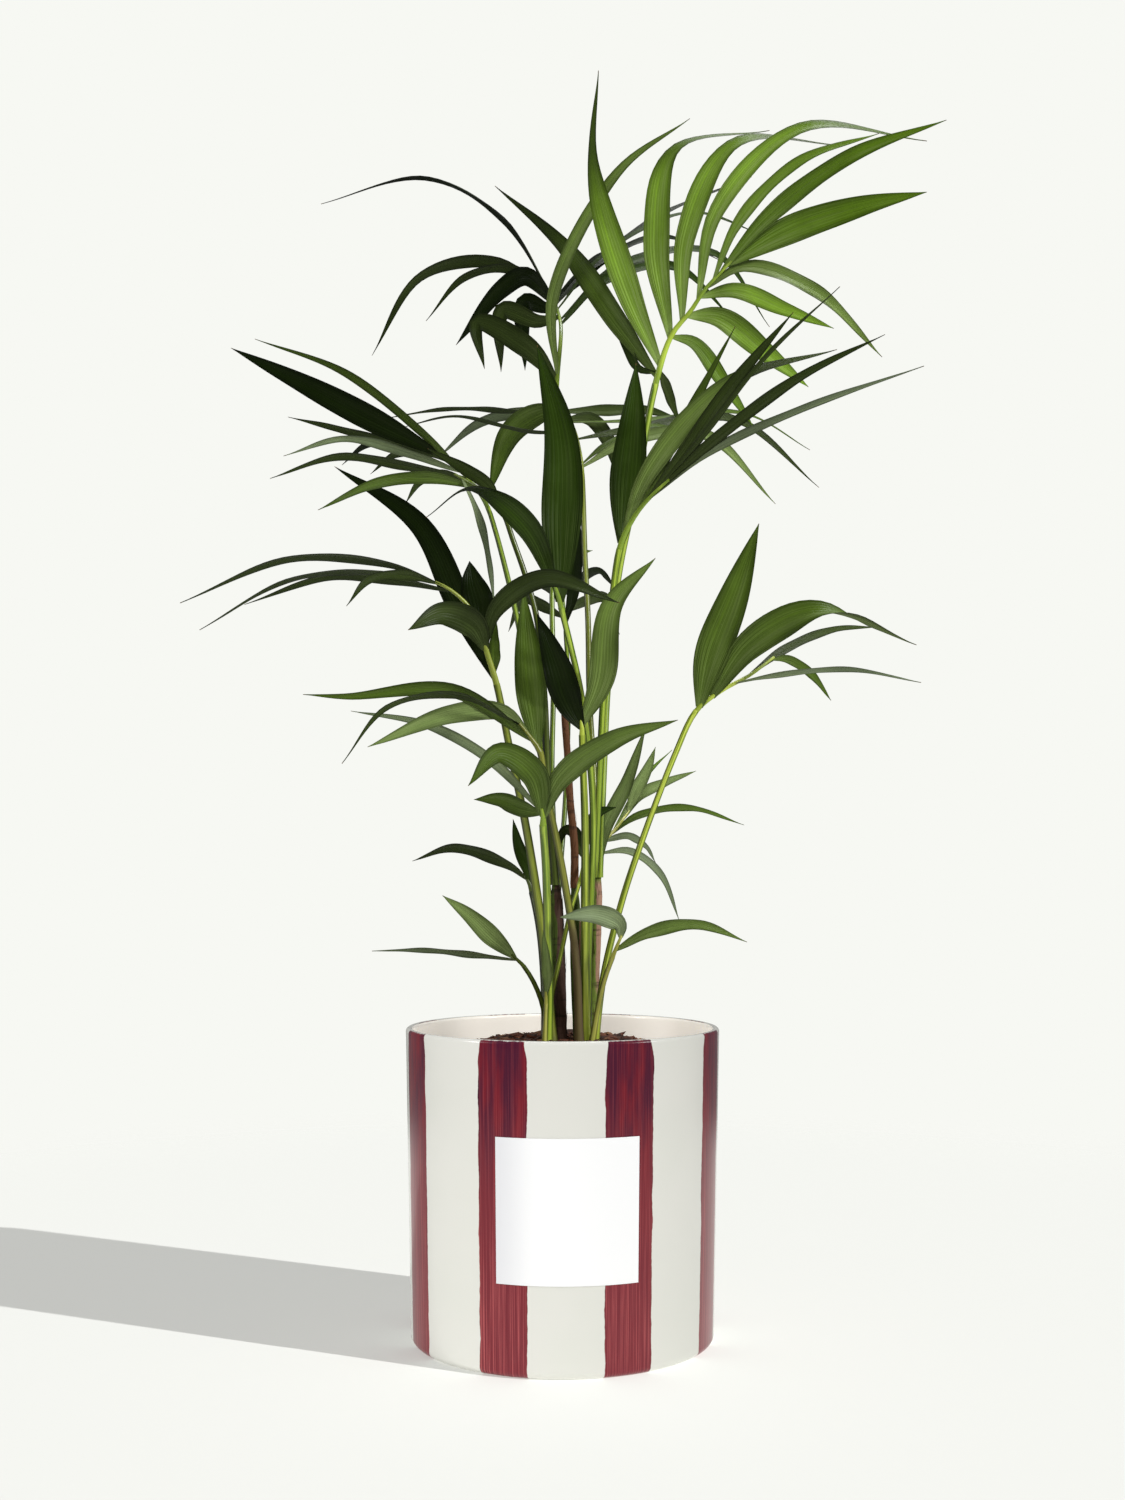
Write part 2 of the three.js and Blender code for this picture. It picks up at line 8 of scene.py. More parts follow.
import bpy
import numpy as np
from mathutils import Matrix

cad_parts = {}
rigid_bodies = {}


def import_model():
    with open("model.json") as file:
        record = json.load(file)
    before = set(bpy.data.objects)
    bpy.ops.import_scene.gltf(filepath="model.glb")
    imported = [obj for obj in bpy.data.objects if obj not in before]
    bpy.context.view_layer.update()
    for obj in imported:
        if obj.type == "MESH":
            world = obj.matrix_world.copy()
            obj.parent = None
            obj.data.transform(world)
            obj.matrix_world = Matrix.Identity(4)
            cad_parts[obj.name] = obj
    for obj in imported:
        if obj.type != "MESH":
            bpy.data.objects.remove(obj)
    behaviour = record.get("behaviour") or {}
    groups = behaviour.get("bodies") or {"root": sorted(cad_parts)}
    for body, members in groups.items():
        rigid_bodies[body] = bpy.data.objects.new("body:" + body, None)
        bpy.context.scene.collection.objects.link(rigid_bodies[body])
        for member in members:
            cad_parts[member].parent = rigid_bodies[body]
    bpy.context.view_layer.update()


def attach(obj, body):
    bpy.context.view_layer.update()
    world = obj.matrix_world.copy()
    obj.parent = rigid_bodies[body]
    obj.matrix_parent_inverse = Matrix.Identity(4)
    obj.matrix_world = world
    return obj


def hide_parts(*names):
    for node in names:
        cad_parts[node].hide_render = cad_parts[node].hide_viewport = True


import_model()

# ---- sizes ----
MM = 0.001

POT_HEIGHT = 207 * MM
POT_RIM_RADIUS = 104 * MM
POT_FOOT_RADIUS = 100.5 * MM
POT_FOOT_ROUND = 5 * MM
POT_WALL = 5 * MM
POT_FLOOR = 8 * MM
POT_SIDES = 192
# The underside from its axis outwards, as radius and height in millimetres: a foot ring round a hollow.
UNDERSIDE = [(0, 1.6), (78, 1.6), (80, 1.2), (81, 0), (88.5, 0), (89.8, 0.4)]
# The straight part of the wall keeps clear of the rounding at its foot and its rim.
WALL_CLEAR = 6 * MM
INNER_CORNER = 14 * MM
# So many bands of the rim, on its inner side, have the plain glaze of the inside.
RIM_BANDS_INSIDE = 5

# Angles round the pot are in degrees from its front, towards +X.
STRIPE_COUNT = 8
STRIPE_FIRST = 23.8
STRIPE_WIDTH = 18.4
STRIPE_TOP = 206.95 * MM
STRIPE_SHOULDER = 14 * MM

LABEL_FROM = -23.4
LABEL_TO = 27.1
LABEL_LOW = 58 * MM
LABEL_HIGH = 148 * MM
LABEL_THICK = 0.4 * MM
LABEL_CLEAR = 0.3 * MM
LABEL_COLUMNS = 44
LABEL_ROWS = 12
LABEL_SHADE_FROM = -44 * MM
LABEL_SHADE_TO = -12 * MM

SOIL_TOP = 199 * MM
SOIL_PLATEAU_RADIUS = 46 * MM
SOIL_EDGE = 184 * MM
SOIL_RADIUS = 98.2 * MM
SOIL_BOTTOM = POT_FLOOR + 0.3 * MM
SOIL_FOOT_RADIUS = 78 * MM
SOIL_CORNER_INSET = 4 * MM
SOIL_DIP = 1 * MM
SOIL_RINGS = 33
SOIL_SIDES = 120
# The lumps of the mound: the length of each wave in metres and its height in millimetres.
SOIL_LUMPS = ((11 * MM, 1.0), (5 * MM, 0.8), (2.6 * MM, 0.5))
SOIL_LUMPS_SUNK = 1.6
SOIL_GRAIN = (-0.4, 0.2)
# The chips on it: their material, how many lie in a square metre, and their length.
CHIPS = (
    ("chip_red", 26000.0, 8 * MM), ("chip_brown", 34000.0, 7 * MM), ("chip_pale", 7000.0, 7 * MM),
    ("earth", 60000.0, 3.5 * MM),
)
CHIP_REACH = 93 * MM
CHIP_BED_RINGS = 19
CHIP_BED_SIDES = 60

# The plant is laid out on a front elevation, in millimetres, as seen by an eye straight in front of
# it. A point with a depth slides along its own sight line.
EYE_BACK = 1150
EYE_UP = 313

# The camera's sensor and lens are in millimetres. The horizon lies under the middle of the picture, by
# a share of its height.
SENSOR_HEIGHT = 24
FOCAL_LENGTH = 1.15 * SENSOR_HEIGHT
HORIZON_DOWN = 0.078

# The leaflets' blades: their lengths are in millimetres, and their fold, waves and pleats are shares of
# half their width. Places along a blade are shares of its length.
BLADE_STATIONS = 30
BLADE_CROWDING = 0.92
BLADE_STRIPS = 10
BLADE_WIDEST = 0.38
BLADE_FOOT_SHARE = 0.2
BLADE_TAPER = 1.7
BLADE_LEAST = 0.15
BLADE_FOLD = 0.22
BLADE_FOLD_CURVE = 1.15
BLADE_WAVES = (2.2, 3.6)
BLADE_WAVE_LIFT = (0.05, 0.13)
BLADE_PLEAT = 0.012
BLADE_THICK = 0.45
BLADE_FOOT_CLEAR = 3
# The midrib stands proud on the underside, most at the blade's foot.
MIDRIB_PROUD = 0.5
MIDRIB_WIDTH = 0.08
# A blade may twist from one place along it to another. It then loses a share of its fold and waves, and
# painted shade darkens its upper side, unless its tip rolls so many degrees that the underside shows.
BLADE_TWIST_FROM = 0.4
BLADE_TWIST_TO = 0.8
BLADE_UNFOLDS = 0.7
ROLL_SHOWS_UNDERSIDE = 90

# Stalks, ribs and stems, in millimetres: a step is the way from one ring to the next.
STALK_SIDES = 14
STALK_STEP = 6
STALK_FLARE = 0.2
STALK_FLARE_HEIGHT = 9
RIB_SIDES = 10
RIB_STEP = 5
RIB_SHARE = 0.98
RIB_TIP_RADIUS = 0.9
RIB_SUNK = 1.5
STEM_SIDES = 16
STEM_STEP = 4
STEM_ROUGHNESS = 0.06
STEM_TAPER = 16
STEM_TAPER_SHARE = 0.5
STEM_SUNK = 5
STEM_HAIRS = {"Density": 24000.0, "Length": 11 * MM, "Thickness": 0.16 * MM}

STEM_SEED = 40
FROND_SEED = 100
SOIL_SEED = 5
CHIP_SEED = 11

# ---- the plant's own sizes ----
SOIL_LINE = 199.3

# A stem: its radius at the soil and at its tip, and its centre line as [across, up, depth] points.
TRUNKS = {
    "trunk_left": (4.9, 4.3, [[-1.6, 199, 0], [-2.6, 250, 1], [-4.6, 305, 2]]),
    "trunk_centre": (4, 3.6, [[11, 199, 1], [9, 245, 0], [8, 303, -2]]),
    "trunk_right": (4, 3.9, [[19, 199, 7], [20.8, 235, 8], [22.2, 268, 8], [23.6, 310, 9]]),
    "trunk_back": (4.2, 3.4, [[-3, 199, 14], [-3, 240, 18], [-3, 288, 24]]),
    "dry_stalk": (2.8, 2.2, [[8, 304, -2], [8, 325, -3], [5, 358, -7], [3, 391, -13], [0, 425, -20]]),
}

# A frond: the tone of its stalk, the stalk's radius at its foot and its top, the stalk from foot to
# lowest leaflet and the rib from there on, both as [across, up, depth] points, a letter for the tone
# of each leaflet, and the leaflets. A leaflet is a row of its place on the rib (0 foot, 1 tip), the
# elevation of its rise, of its crest and of its tip, the depth of its tip, the width of its blade, and
# the blade's roll away from the eye in degrees; where the blade twists, its roll at the tip comes last.
FRONDS = {
    "crown_right": ("fresh", 2.2, 2.3, [
        [25, 311, 7], [28, 390, 14], [30, 431, 16], [37, 505, 18], [49, 565, 12], [62, 635, 2],
    ], [
        [73, 668, -4], [85, 683, -8], [95, 698, -14], [105, 709, -20], [113, 717, -26],
    ], "BMBBBBSSNBBSDE", [
        [0.13, 45, 695, 21, 781, 24, 844, -48, 18, 8, 60],
        [0.05, 38, 675, 1, 727, -45, 767, 84, 16, 12, 44],
        [0.33, 63, 731, 75, 791, 138, 804, -14, 18, 12, 78],
        [0.47, 83, 735, 115, 795, 188, 794, -40, 15, 16, 76],
        [0.65, 103, 750, 158, 805, 243, 797, -66, 12, 20, 66],
        [0.82, 118, 743, 158, 783, 211, 802, -96, 10, 40],
        [0.90, 135, 744, 191, 786, 256, 811, -118, 12, 20],
        [0.98, 148, 736, 198, 753, 243, 763, -92, 18, 8],
        [0.74, 121, 713, 168, 697, 213, 653, -72, 11, 36],
        [0.67, 115, 697, 147, 685, 181, 672, -20, 12, 20],
        [0.52, 105, 679, 134, 657, 164, 633, 12, 16, 10],
        [0.34, 88, 662, 106, 638, 127, 607, 34, 11, 14],
        [0.10, 69, 633, 72, 624, 78, 609, 22, 8, 30],
        [0.08, 51, 646, 41, 668, 20, 709, 58, 10, 40],
    ]),
    "crown_left": ("moss", 1.8, 1.8, [
        [-4, 306, 4], [-7, 371, 10], [-6, 438, 16], [-7, 491, 22], [-5, 571, 32], [-4, 631, 42],
    ], [
        [-1, 670, 60], [-3, 683, 85], [-8, 695, 120],
    ], "KDDKDDKNKKEEEK", [
        [0.98, -39, 745, -92, 773, -161, 755, 196, 11, 72],
        [0.94, -45, 717, -96, 706, -127, 654, 214, 11, 36],
        [0.86, -34, 712, -66, 706, -91, 677, 172, 9, 40],
        [0.80, -25, 707, -41, 698, -71, 661, 150, 14, 6],
        [0.06, -24, 660, -57, 676, -52, 645, 66, 16, 8],
        [0.58, -16, 677, -40, 684, -41, 643, 96, 13, 12],
        [0.68, -12, 686, -25, 689, -25, 644, 124, 13, 6],
        [0.08, -6, 693, 37, 776, 85, 812, -24, 10, 22],
        [0.90, 23, 717, 65, 747, 126, 773, 188, 9, 66],
        [0.78, 23, 715, 68, 733, 106, 717, 176, 9, 56],
        [0.70, 28, 721, 85, 749, 137, 733, 146, 9, 70],
        [0.52, 38, 713, 101, 722, 138, 673, 116, 9, 50],
        [0.46, 28, 704, 75, 713, 113, 679, 90, 9, 36],
        [0.84, 11, 705, 31, 720, 65, 710, 150, 10, 12],
    ]),
    "back_arch": ("olive", 2.3, 1.9, [
        [13, SOIL_LINE, 11], [19, 291, 22], [22, 345, 30], [18, 425, 42], [17, 478, 48], [15, 518, 54],
        [13, 575, 66],
    ], [
        [11, 591, 84], [7, 606, 118], [1, 615, 152], [-7, 619, 190],
    ], "MDMLDDDDGM", [
        [0.06, 31, 595, 61, 607, 91, 599, 106, 8, 56],
        [0.30, 45, 604, 115, 611, 171, 566, 170, 10, 44],
        [0.55, 51, 610, 121, 615, 165, 591, 236, 9, 68],
        [0.04, 45, 597, 95, 601, 142, 555, 62, 10, 30],
        [0.80, 28, 617, 58, 617, 85, 608, 254, 10, 30],
        [0.62, 19, 611, 30, 598, 39, 568, 200, 12, 10],
        [0.84, -22, 617, -75, 619, -119, 612, 262, 9, 64],
        [0.40, -22, 604, -72, 614, -107, 606, 170, 9, 70],
        [0.96, -19, 618, -56, 609, -83, 586, 270, 10, 30],
        [0.70, -14, 616, -35, 602, -49, 562, 214, 19, 8],
    ]),
    "left_upper": ("moss", 2.6, 1.7, [
        [-8, 306, 4], [-13, 385, 16], [-22, 438, 24], [-33, 491, 32], [-45, 538, 38], [-50, 553, 41],
    ], [
        [-57, 565, 46], [-69, 578, 54], [-82, 588, 64], [-92, 593, 74],
    ], "MKDPDKDD", [
        [0.40, -89, 599, -145, 643, -205, 665, 118, 9, 44],
        [0.80, -122, 609, -172, 635, -221, 659, 78, 18, 6],
        [0.70, -112, 595, -152, 606, -183, 613, 128, 9, 40],
        [0.45, -99, 588, -145, 599, -186, 587, 34, 9, 44],
        [0.36, -105, 581, -149, 587, -195, 572, 4, 9, 44],
        [0.92, -116, 598, -132, 594, -147, 581, 132, 8, 30],
        [0.62, -89, 590, -112, 588, -128, 575, 104, 8, 30],
        [0.18, -79, 575, -95, 570, -105, 555, 6, 8, 30],
    ]),
    "left_inner": ("dark", 2.7, 1.7, [
        [-5, 306, -1], [-10, 371, -8], [-12, 425, -14], [-17, 478, -20], [-24, 505, -24], [-33, 531, -28],
        [-40, 550, -32],
    ], [
        [-49, 561, -38], [-62, 569, -46], [-72, 575, -54],
    ], "MDG", [
        [0.55, -89, 573, -125, 569, -163, 551, -104, 9, 28],
        [0.05, -50, 568, -66, 579, -90, 592, -30, 9, 14],
        [0.85, -57, 548, -50, 519, -45, 483, -48, 9, 58],
    ]),
    "centre": ("fresh", 2.4, 1.9, [
        [17, SOIL_LINE, -3], [17.3, 255, -8], [19.3, 298, -13], [20, 358, -26], [13, 425, -50],
        [6, 458, -66], [-1, 486, -82],
    ], [
        [-3, 494, -86], [-6, 503, -91],
    ], "EE", [
        [0.20, -1, 531, -1, 598, -17, 661, -58, 26, 0],
        [0.75, -23, 540, -60, 566, -91, 546, -142, 15, 10, 84],
    ]),
    "right_mid": ("fresh", 2.1, 2.1, [
        [22, 311, 2], [24, 358, -8], [27, 425, -20], [33, 491, -32], [38, 525, -40],
    ], [
        [43, 538, -46], [51, 551, -54], [61, 562, -64], [71, 571, -74],
    ], "ENMDDDG", [
        [0.06, 42, 558, 47, 611, 49, 649, -22, 23, 4],
        [0.12, 57, 575, 112, 636, 183, 658, -92, 14, 14, 50],
        [0.50, 70, 586, 91, 627, 115, 673, -52, 10, 46],
        [0.65, 81, 588, 115, 636, 154, 683, -112, 11, 20],
        [0.78, 95, 601, 138, 655, 185, 700, -146, 9, 66],
        [0.90, 101, 597, 158, 639, 215, 668, -162, 9, 34],
        [0.62, 95, 587, 158, 617, 241, 647, -190, 9, 54],
    ]),
    "left_mid": ("olive", 3.3, 2.2, [
        [-7, SOIL_LINE, -10], [-13, 265, -20], [-24, 338, -34], [-35, 391, -46], [-44, 435, -56],
    ], [
        [-51, 458, -62], [-54, 471, -66], [-62, 486, -72], [-75, 498, -78], [-85, 503, -82],
    ], "KDDDDDKDM", [
        [0.04, -67, 484, -95, 541, -152, 580, -46, 17, 6],
        [0.90, -115, 515, -182, 519, -255, 489, -146, 10, 60],
        [0.95, -122, 510, -182, 505, -242, 471, -104, 9, 68],
        [0.84, -109, 504, -155, 507, -212, 488, -66, 9, 50],
        [0.98, -105, 508, -129, 505, -144, 487, -122, 8, 36],
        [0.28, -60, 475, -80, 482, -103, 471, -104, 18, 4],
        [0.50, -56, 488, -60, 503, -62, 517, -66, 20, 4],
        [0.32, -44, 485, -12, 505, 38, 489, -146, 13, 14],
        [0.08, -45, 451, -45, 464, -44, 477, -60, 8, 20],
    ]),
    "low_left_front": ("bronze", 2.8, 2.1, [
        [11, SOIL_LINE, -16], [9, 251, -24], [0, 311, -36], [-11, 365, -48], [-15, 390, -54],
    ], [
        [-19, 396, -56], [-29, 409, -62],
    ], "MMLD", [
        [0.12, -19, 415, -23, 455, -26, 498, -52, 20, 4],
        [0.35, -72, 431, -144, 427, -173, 428, -118, 11, 34],
        [0.50, -39, 416, -75, 415, -130, 393, -88, 13, 10],
        [0.95, -70, 428, -117, 420, -147, 382, -160, 8, 58],
    ]),
    "low_left_broad": ("fresh", 3.0, 2.4, [
        [-10, SOIL_LINE, -19], [-9, 225, -26], [-10, 271, -42], [-11, 311, -60], [-13, 341, -76],
    ], [
        [-13, 346, -78], [-14, 352, -81],
    ], "NMPM", [
        [0.40, -2, 371, 35, 398, 77, 411, -122, 15, 8],
        [0.50, -19, 375, -42, 389, -63, 367, -118, 17, 4],
        [0.80, -48, 385, -90, 408, -141, 417, -36, 8, 30],
        [0.70, -26, 352, -42, 358, -59, 358, -34, 12, 16],
    ]),
    "mid_pair": ("lime", 3.4, 2.1, [
        [15, SOIL_LINE, -9], [15, 291, -26], [15, 340, -40], [13, 401, -54],
    ], [
        [13, 406, -55], [12, 412, -56],
    ], "NK", [
        [0.60, 26, 438, 33, 487, 62, 519, -78, 18, 4],
        [0.40, 5, 421, -5, 451, -17, 482, -74, 20, 4],
    ]),
    "right_low": ("lime", 2.4, 1.9, [
        [22, SOIL_LINE, -6], [27.5, 241, -9], [39, 288, -13], [51, 325, -16], [75, 388, -10],
        [89, 417, -6],
    ], [
        [105, 430, -2], [125, 441, 4], [141, 453, 10],
    ], "MMDMG", [
        [0.05, 98, 450, 115, 495, 131, 542, -26, 24, 4],
        [0.22, 125, 461, 171, 483, 236, 461, -64, 21, 6, 112],
        [0.65, 151, 459, 181, 471, 211, 473, 76, 9, 44],
        [0.95, 150, 451, 166, 441, 179, 424, 60, 8, 34],
        [0.50, 141, 440, 191, 444, 239, 436, -80, 8, 60],
    ]),
    "right_cluster": ("straw", 2.1, 1.6, [
        [17, SOIL_LINE, 17], [17.5, 250, 26], [20, 288, 38], [25, 309, 49],
    ], [
        [25, 326, 60], [35, 338, 70], [45, 351, 84],
    ], "LLBLMGG", [
        [0.10, 28, 337, 43, 369, 56, 408, 40, 11, 12],
        [0.95, 49, 363, 57, 379, 62, 393, 110, 10, 12],
        [0.60, 46, 356, 59, 377, 73, 391, 140, 8, 58],
        [0.80, 51, 360, 68, 369, 89, 377, 134, 9, 24],
        [0.50, 51, 347, 85, 352, 121, 341, 172, 8, 44],
        [0.42, 43, 333, 55, 327, 62, 316, 120, 8, 44],
        [0.25, 45, 323, 65, 308, 78, 277, 74, 8, 44],
    ]),
    "low_right": ("straw", 1.9, 1.6, [
        [20, SOIL_LINE, -15], [23.5, 218, -20], [28, 238, -27], [33.5, 253, -34],
    ], [
        [36, 259.5, -38], [39.5, 267.5, -42],
    ], "PN", [
        [0.90, 38, 274.5, 24, 281.5, -2, 279.5, -64, 13.5, 8],
        [0.30, 58, 269, 91, 274, 123, 263, -72, 10, 32],
    ]),
    "low_left": ("dark", 1.9, 1.5, [
        [-12, SOIL_LINE, -1], [-12.6, 218, -5], [-18.6, 235, -11], [-26, 247, -16],
    ], [
        [-30, 251, -19], [-34, 255, -22],
    ], "LG", [
        [0.70, -44, 264, -62, 281, -80, 294, -56, 13, 12],
        [0.50, -59, 255, -92, 258, -127, 257, -30, 8, 58],
    ]),
    "stub_left": ("dark", 3.0, 2.6, [
        [-11, SOIL_LINE, 9], [-12, 238, 20], [-15, 271, 34], [-20, 296, 48],
    ], [
        [-22, 302, 52], [-25, 307, 55],
    ], "DE", [
        [0.80, -35, 314, -72, 326, -100, 317, 102, 10, 34],
        [0.40, -23, 312, -29, 327, -33, 345, 66, 10, 16],
    ]),
    "back_mid": ("moss", 1.9, 1.5, [
        [-3, 293, 25], [2, 360, 44], [4, 430, 66], [2, 470, 86],
    ], [
        [1, 484, 102], [0, 494, 122], [-2, 500, 146],
    ], "KDDDKEM", [
        [0.08, 8, 500, 8, 540, 3, 590, 124, 12, 20],
        [0.20, -14, 488, -26, 492, -36, 470, 172, 10, 30],
        [0.28, 16, 490, 28, 492, 38, 468, 178, 10, 30],
        [0.55, -12, 502, -22, 506, -32, 490, 226, 10, 40],
        [0.62, 12, 504, 24, 510, 36, 498, 234, 10, 40],
        [0.92, -6, 512, -10, 524, -8, 540, 236, 11, 30],
        [0.97, 6, 512, 12, 522, 20, 524, 262, 10, 30],
    ]),
    "small_leaf": ("straw", 1.7, 1.3, [
        [-12, SOIL_LINE, -27], [-11, 222, -33],
    ], [
        [-11, 226, -34], [-11, 230, -36],
    ], "L", [
        [0.60, -10, 238, -11, 255, -13, 271, -60, 7, 16],
    ]),
    "back_low": ("lime", 1.8, 1.4, [
        [-9.5, SOIL_LINE, -4], [-7.5, 225, -8], [-1, 255, -12], [5.5, 284, -12], [11.5, 303, -10],
    ], [
        [15, 320, -3], [18, 333, 3],
    ], "ED", [
        [0.80, 18, 339, 24, 349, 36, 353, 4, 9, 12],
        [0.50, 7, 337, 1, 337, -3, 325, 18, 9, 12],
    ]),
}


def srgb(red, green, blue):
    """A colour told as it shows on a screen, as the linear colour that shaders take."""
    shown = np.array([red, green, blue]) / 255
    linear = np.where(shown <= 0.04045, shown / 12.92, ((shown + 0.055) / 1.055) ** 2.4)
    return (*linear.tolist(), 1.0)


# The upper side and the underside of each tone of leaflet. The tones are lit and shaded copies of one
# leaf green, partly the leaflets' own colour: the darker tones are partly painted shade, and the grey and
# pale tones partly painted sheen.
LEAF_TONES = {
    "B": ("leaf_bright", srgb(106, 138, 38), srgb(122, 144, 76)),
    "S": ("leaf_fresh", srgb(86, 116, 22), srgb(110, 134, 62)),
    "L": ("leaf_light", srgb(102, 120, 66), srgb(112, 126, 88)),
    "N": ("leaf_middle", srgb(88, 108, 46), srgb(100, 114, 74)),
    "M": ("leaf_green", srgb(66, 86, 24), srgb(90, 104, 60)),
    "E": ("leaf_rich", srgb(34, 52, 5), srgb(64, 78, 36)),
    "D": ("leaf_dark", srgb(44, 56, 20), srgb(66, 76, 44)),
    "K": ("leaf_deep", srgb(13, 24, 1), srgb(40, 50, 24)),
    "G": ("leaf_grey", srgb(94, 106, 78), srgb(84, 98, 66)),
    "P": ("leaf_pale", srgb(112, 126, 92), srgb(96, 112, 74)),
}
# The skin and the streak colour of each tone of stalk. The streak colour also paints the highlight line down
# each stalk's front.
STALK_TONES = {
    "lime": (srgb(104, 124, 24), srgb(180, 194, 72)),
    "fresh": (srgb(92, 122, 22), srgb(170, 192, 66)),
    "straw": (srgb(140, 142, 50), srgb(178, 178, 92)),
    "olive": (srgb(102, 114, 30), srgb(138, 148, 54)),
    "moss": (srgb(72, 96, 16), srgb(138, 162, 50)),
    "dark": (srgb(50, 64, 10), srgb(84, 98, 30)),
    "bronze": (srgb(100, 106, 30), srgb(134, 136, 54)),
}
# The living skin, the dry sheath and the dark cracks of each stem, the place across from which the
# sheath is dry, and the height from which the skin is alive all round.
TRUNK_TONES = {
    "trunk_left": (srgb(70, 88, 24), srgb(74, 52, 42), srgb(30, 24, 14), -4, 330),
    "trunk_centre": (srgb(58, 74, 20), srgb(104, 70, 52), srgb(34, 24, 18), 9.6, 277),
    "trunk_right": (srgb(104, 124, 44), srgb(160, 124, 102), srgb(66, 50, 34), 22, 300),
    "trunk_back": (srgb(60, 76, 22), srgb(74, 52, 42), srgb(30, 24, 14), -1, 330),
    "dry_stalk": (srgb(96, 60, 34), srgb(96, 60, 34), srgb(46, 28, 16), -60, 500),
}
# How high the dry sheath climbs round the feet of a tone's stalks, and of all other stalks.
SHEATH_TOPS = {"moss": 0.225, "olive": 0.212, "dark": 0.212, "bronze": 0.285}
SHEATH_TOP = 0.19


# ---- nodes ----
SHADER, GROWTH = "ShaderNodeTree", "GeometryNodeTree"
COLOUR, NUMBER = (0.0, 0.0, 0.0, 1.0), 0.0
SOCKETS = {tuple: "NodeSocketColor", float: "NodeSocketFloat", int: "NodeSocketInt"}
EFFECT_OUTPUTS = {"Colour": "NodeSocketColor", "Roughness": "NodeSocketFloat", "Height": "NodeSocketFloat"}


def feed(node, feeds):
    """Sets a node's inputs, told by name or in order, to plain values or links them to signals."""
    for key, source in feeds.items() if isinstance(feeds, dict) else enumerate(feeds):
        if isinstance(source, Signal):
            node.id_data.links.new(source.socket, node.inputs[key])
        else:
            node.inputs[key].default_value = source


def add_node(tree, kind, feeds=(), **settings):
    """A new node with its settings made and then its inputs fed."""
    made = tree.nodes.new(kind)
    for key, value in settings.items():
        setattr(made, key, value)
    feed(made, feeds)
    return made


class Signal:
    """What a node puts out. Sums, products and the like add the nodes that work them out."""

    def __init__(self, node, output=0):
        self.tree = node.id_data
        self.socket = node.outputs[output]

    def through(self, kind, feeds=None, **settings):
        """What a node makes of this signal and of its other inputs."""
        return Signal(add_node(self.tree, kind, {0: self, **(feeds or {})}, **settings))

    def maths(self, operation, *others):
        return self.through("ShaderNodeMath", dict(enumerate(others, 1)), operation=operation)

    def __add__(self, other):
        return self.maths("ADD", other)

    def __sub__(self, other):
        return self.maths("SUBTRACT", other)

    def __mul__(self, other):
        return self.maths("MULTIPLY", other)

    def __truediv__(self, other):
        return self.maths("DIVIDE", other)

    def __abs__(self):
        return self.maths("ABSOLUTE")

    def remap(self, low, high, to_low=0.0, to_high=1.0, course="SMOOTHSTEP"):
        """This number's way from low to high, as a way from to_low to to_high, and no further."""
        feeds = {1: low, 2: high, 3: to_low, 4: to_high}
        return self.through("ShaderNodeMapRange", feeds, interpolation_type=course)

    def noise(self, scale=1.0, detail=2.0, roughness=0.5):
        """A cloudy number between 0 and 1 at this place; the greater the scale, the finer."""
        feeds = {"Scale": scale, "Detail": detail, "Roughness": roughness}
        return self.through("ShaderNodeTexNoise", feeds)

    def parts(self):
        made = add_node(self.tree, "ShaderNodeSeparateXYZ", [self])
        return [Signal(made, axis) for axis in range(3)]

    def shaded(self, shade):
        """This colour, made lighter or darker by a number."""
        settings = {"data_type": "RGBA", "blend_type": "MULTIPLY"}
        return Signal(add_node(self.tree, "ShaderNodeMix", {0: 1.0, 6: self, 7: shade}, **settings), 2)


def blend(share, first, second):
    """The first colour with a share of the second."""
    return Signal(add_node(share.tree, "ShaderNodeMix", {0: share, 6: first, 7: second}, data_type="RGBA"), 2)


def vector(x, y, z):
    return x.through("ShaderNodeCombineXYZ", {1: y, 2: z})


def object_place(tree):
    return Signal(add_node(tree, "ShaderNodeTexCoord"), "Object")


def stretched(tree, *scale):
    """The place on the piece, multiplied by its own scale along each axis."""
    return object_place(tree).through("ShaderNodeMapping", {"Scale": scale})


def attribute(tree, name, output="Fac"):
    return Signal(add_node(tree, "ShaderNodeAttribute", attribute_name=name), output)


def open_group(name, family, inputs, outputs):
    """An empty node group and its inputs, as signals. An input is told by the value it starts from, or
    by its kind of socket."""
    tree = bpy.data.node_groups.new(name, family)
    for label, start in inputs.items():
        if isinstance(start, str):
            tree.interface.new_socket(label, in_out="INPUT", socket_type=start)
        else:
            made = tree.interface.new_socket(label, in_out="INPUT", socket_type=SOCKETS[type(start)])
            made.default_value = start
    for label, kind in outputs.items():
        tree.interface.new_socket(label, in_out="OUTPUT", socket_type=kind)
    inside = add_node(tree, "NodeGroupInput")
    return tree, {label: Signal(inside, label) for label in inputs}


def open_effect(name, inputs):
    return open_group(name, SHADER, inputs, EFFECT_OUTPUTS)


def close_effect(colour, roughness, height):
    add_node(colour.tree, "NodeGroupOutput", {"Colour": colour, "Roughness": roughness, "Height": height})
    return colour.tree


# ---- finishes ----
VEINS_ACROSS, RAYS_ACROSS, PLEATS_ACROSS = 46.0, 90.0, 9
GLOSS_UPPER, GLOSS_UNDER = 0.38, 0.55
PALE_FOOT = srgb(164, 178, 120)
DRY_TIP = srgb(96, 74, 46)
DRY_FROM = 0.985
# The painted highlight down each stalk lies where its skin faces this far to the right.
HIGHLIGHT_LINE_AT = 0.2
SHEATH = srgb(96, 78, 48)
SHEATH_DARK = srgb(60, 44, 28)
GLAZE = srgb(234, 233, 226)
GLAZE_COOL = srgb(226, 228, 218)
PAINT = srgb(122, 16, 34)
PAINT_THIN = srgb(192, 88, 90)
PAINT_THICK = srgb(74, 4, 40)
PAPER = srgb(254, 254, 255)
PAPER_SHADED = srgb(226, 226, 230)
EARTH_ROUGH = 0.85
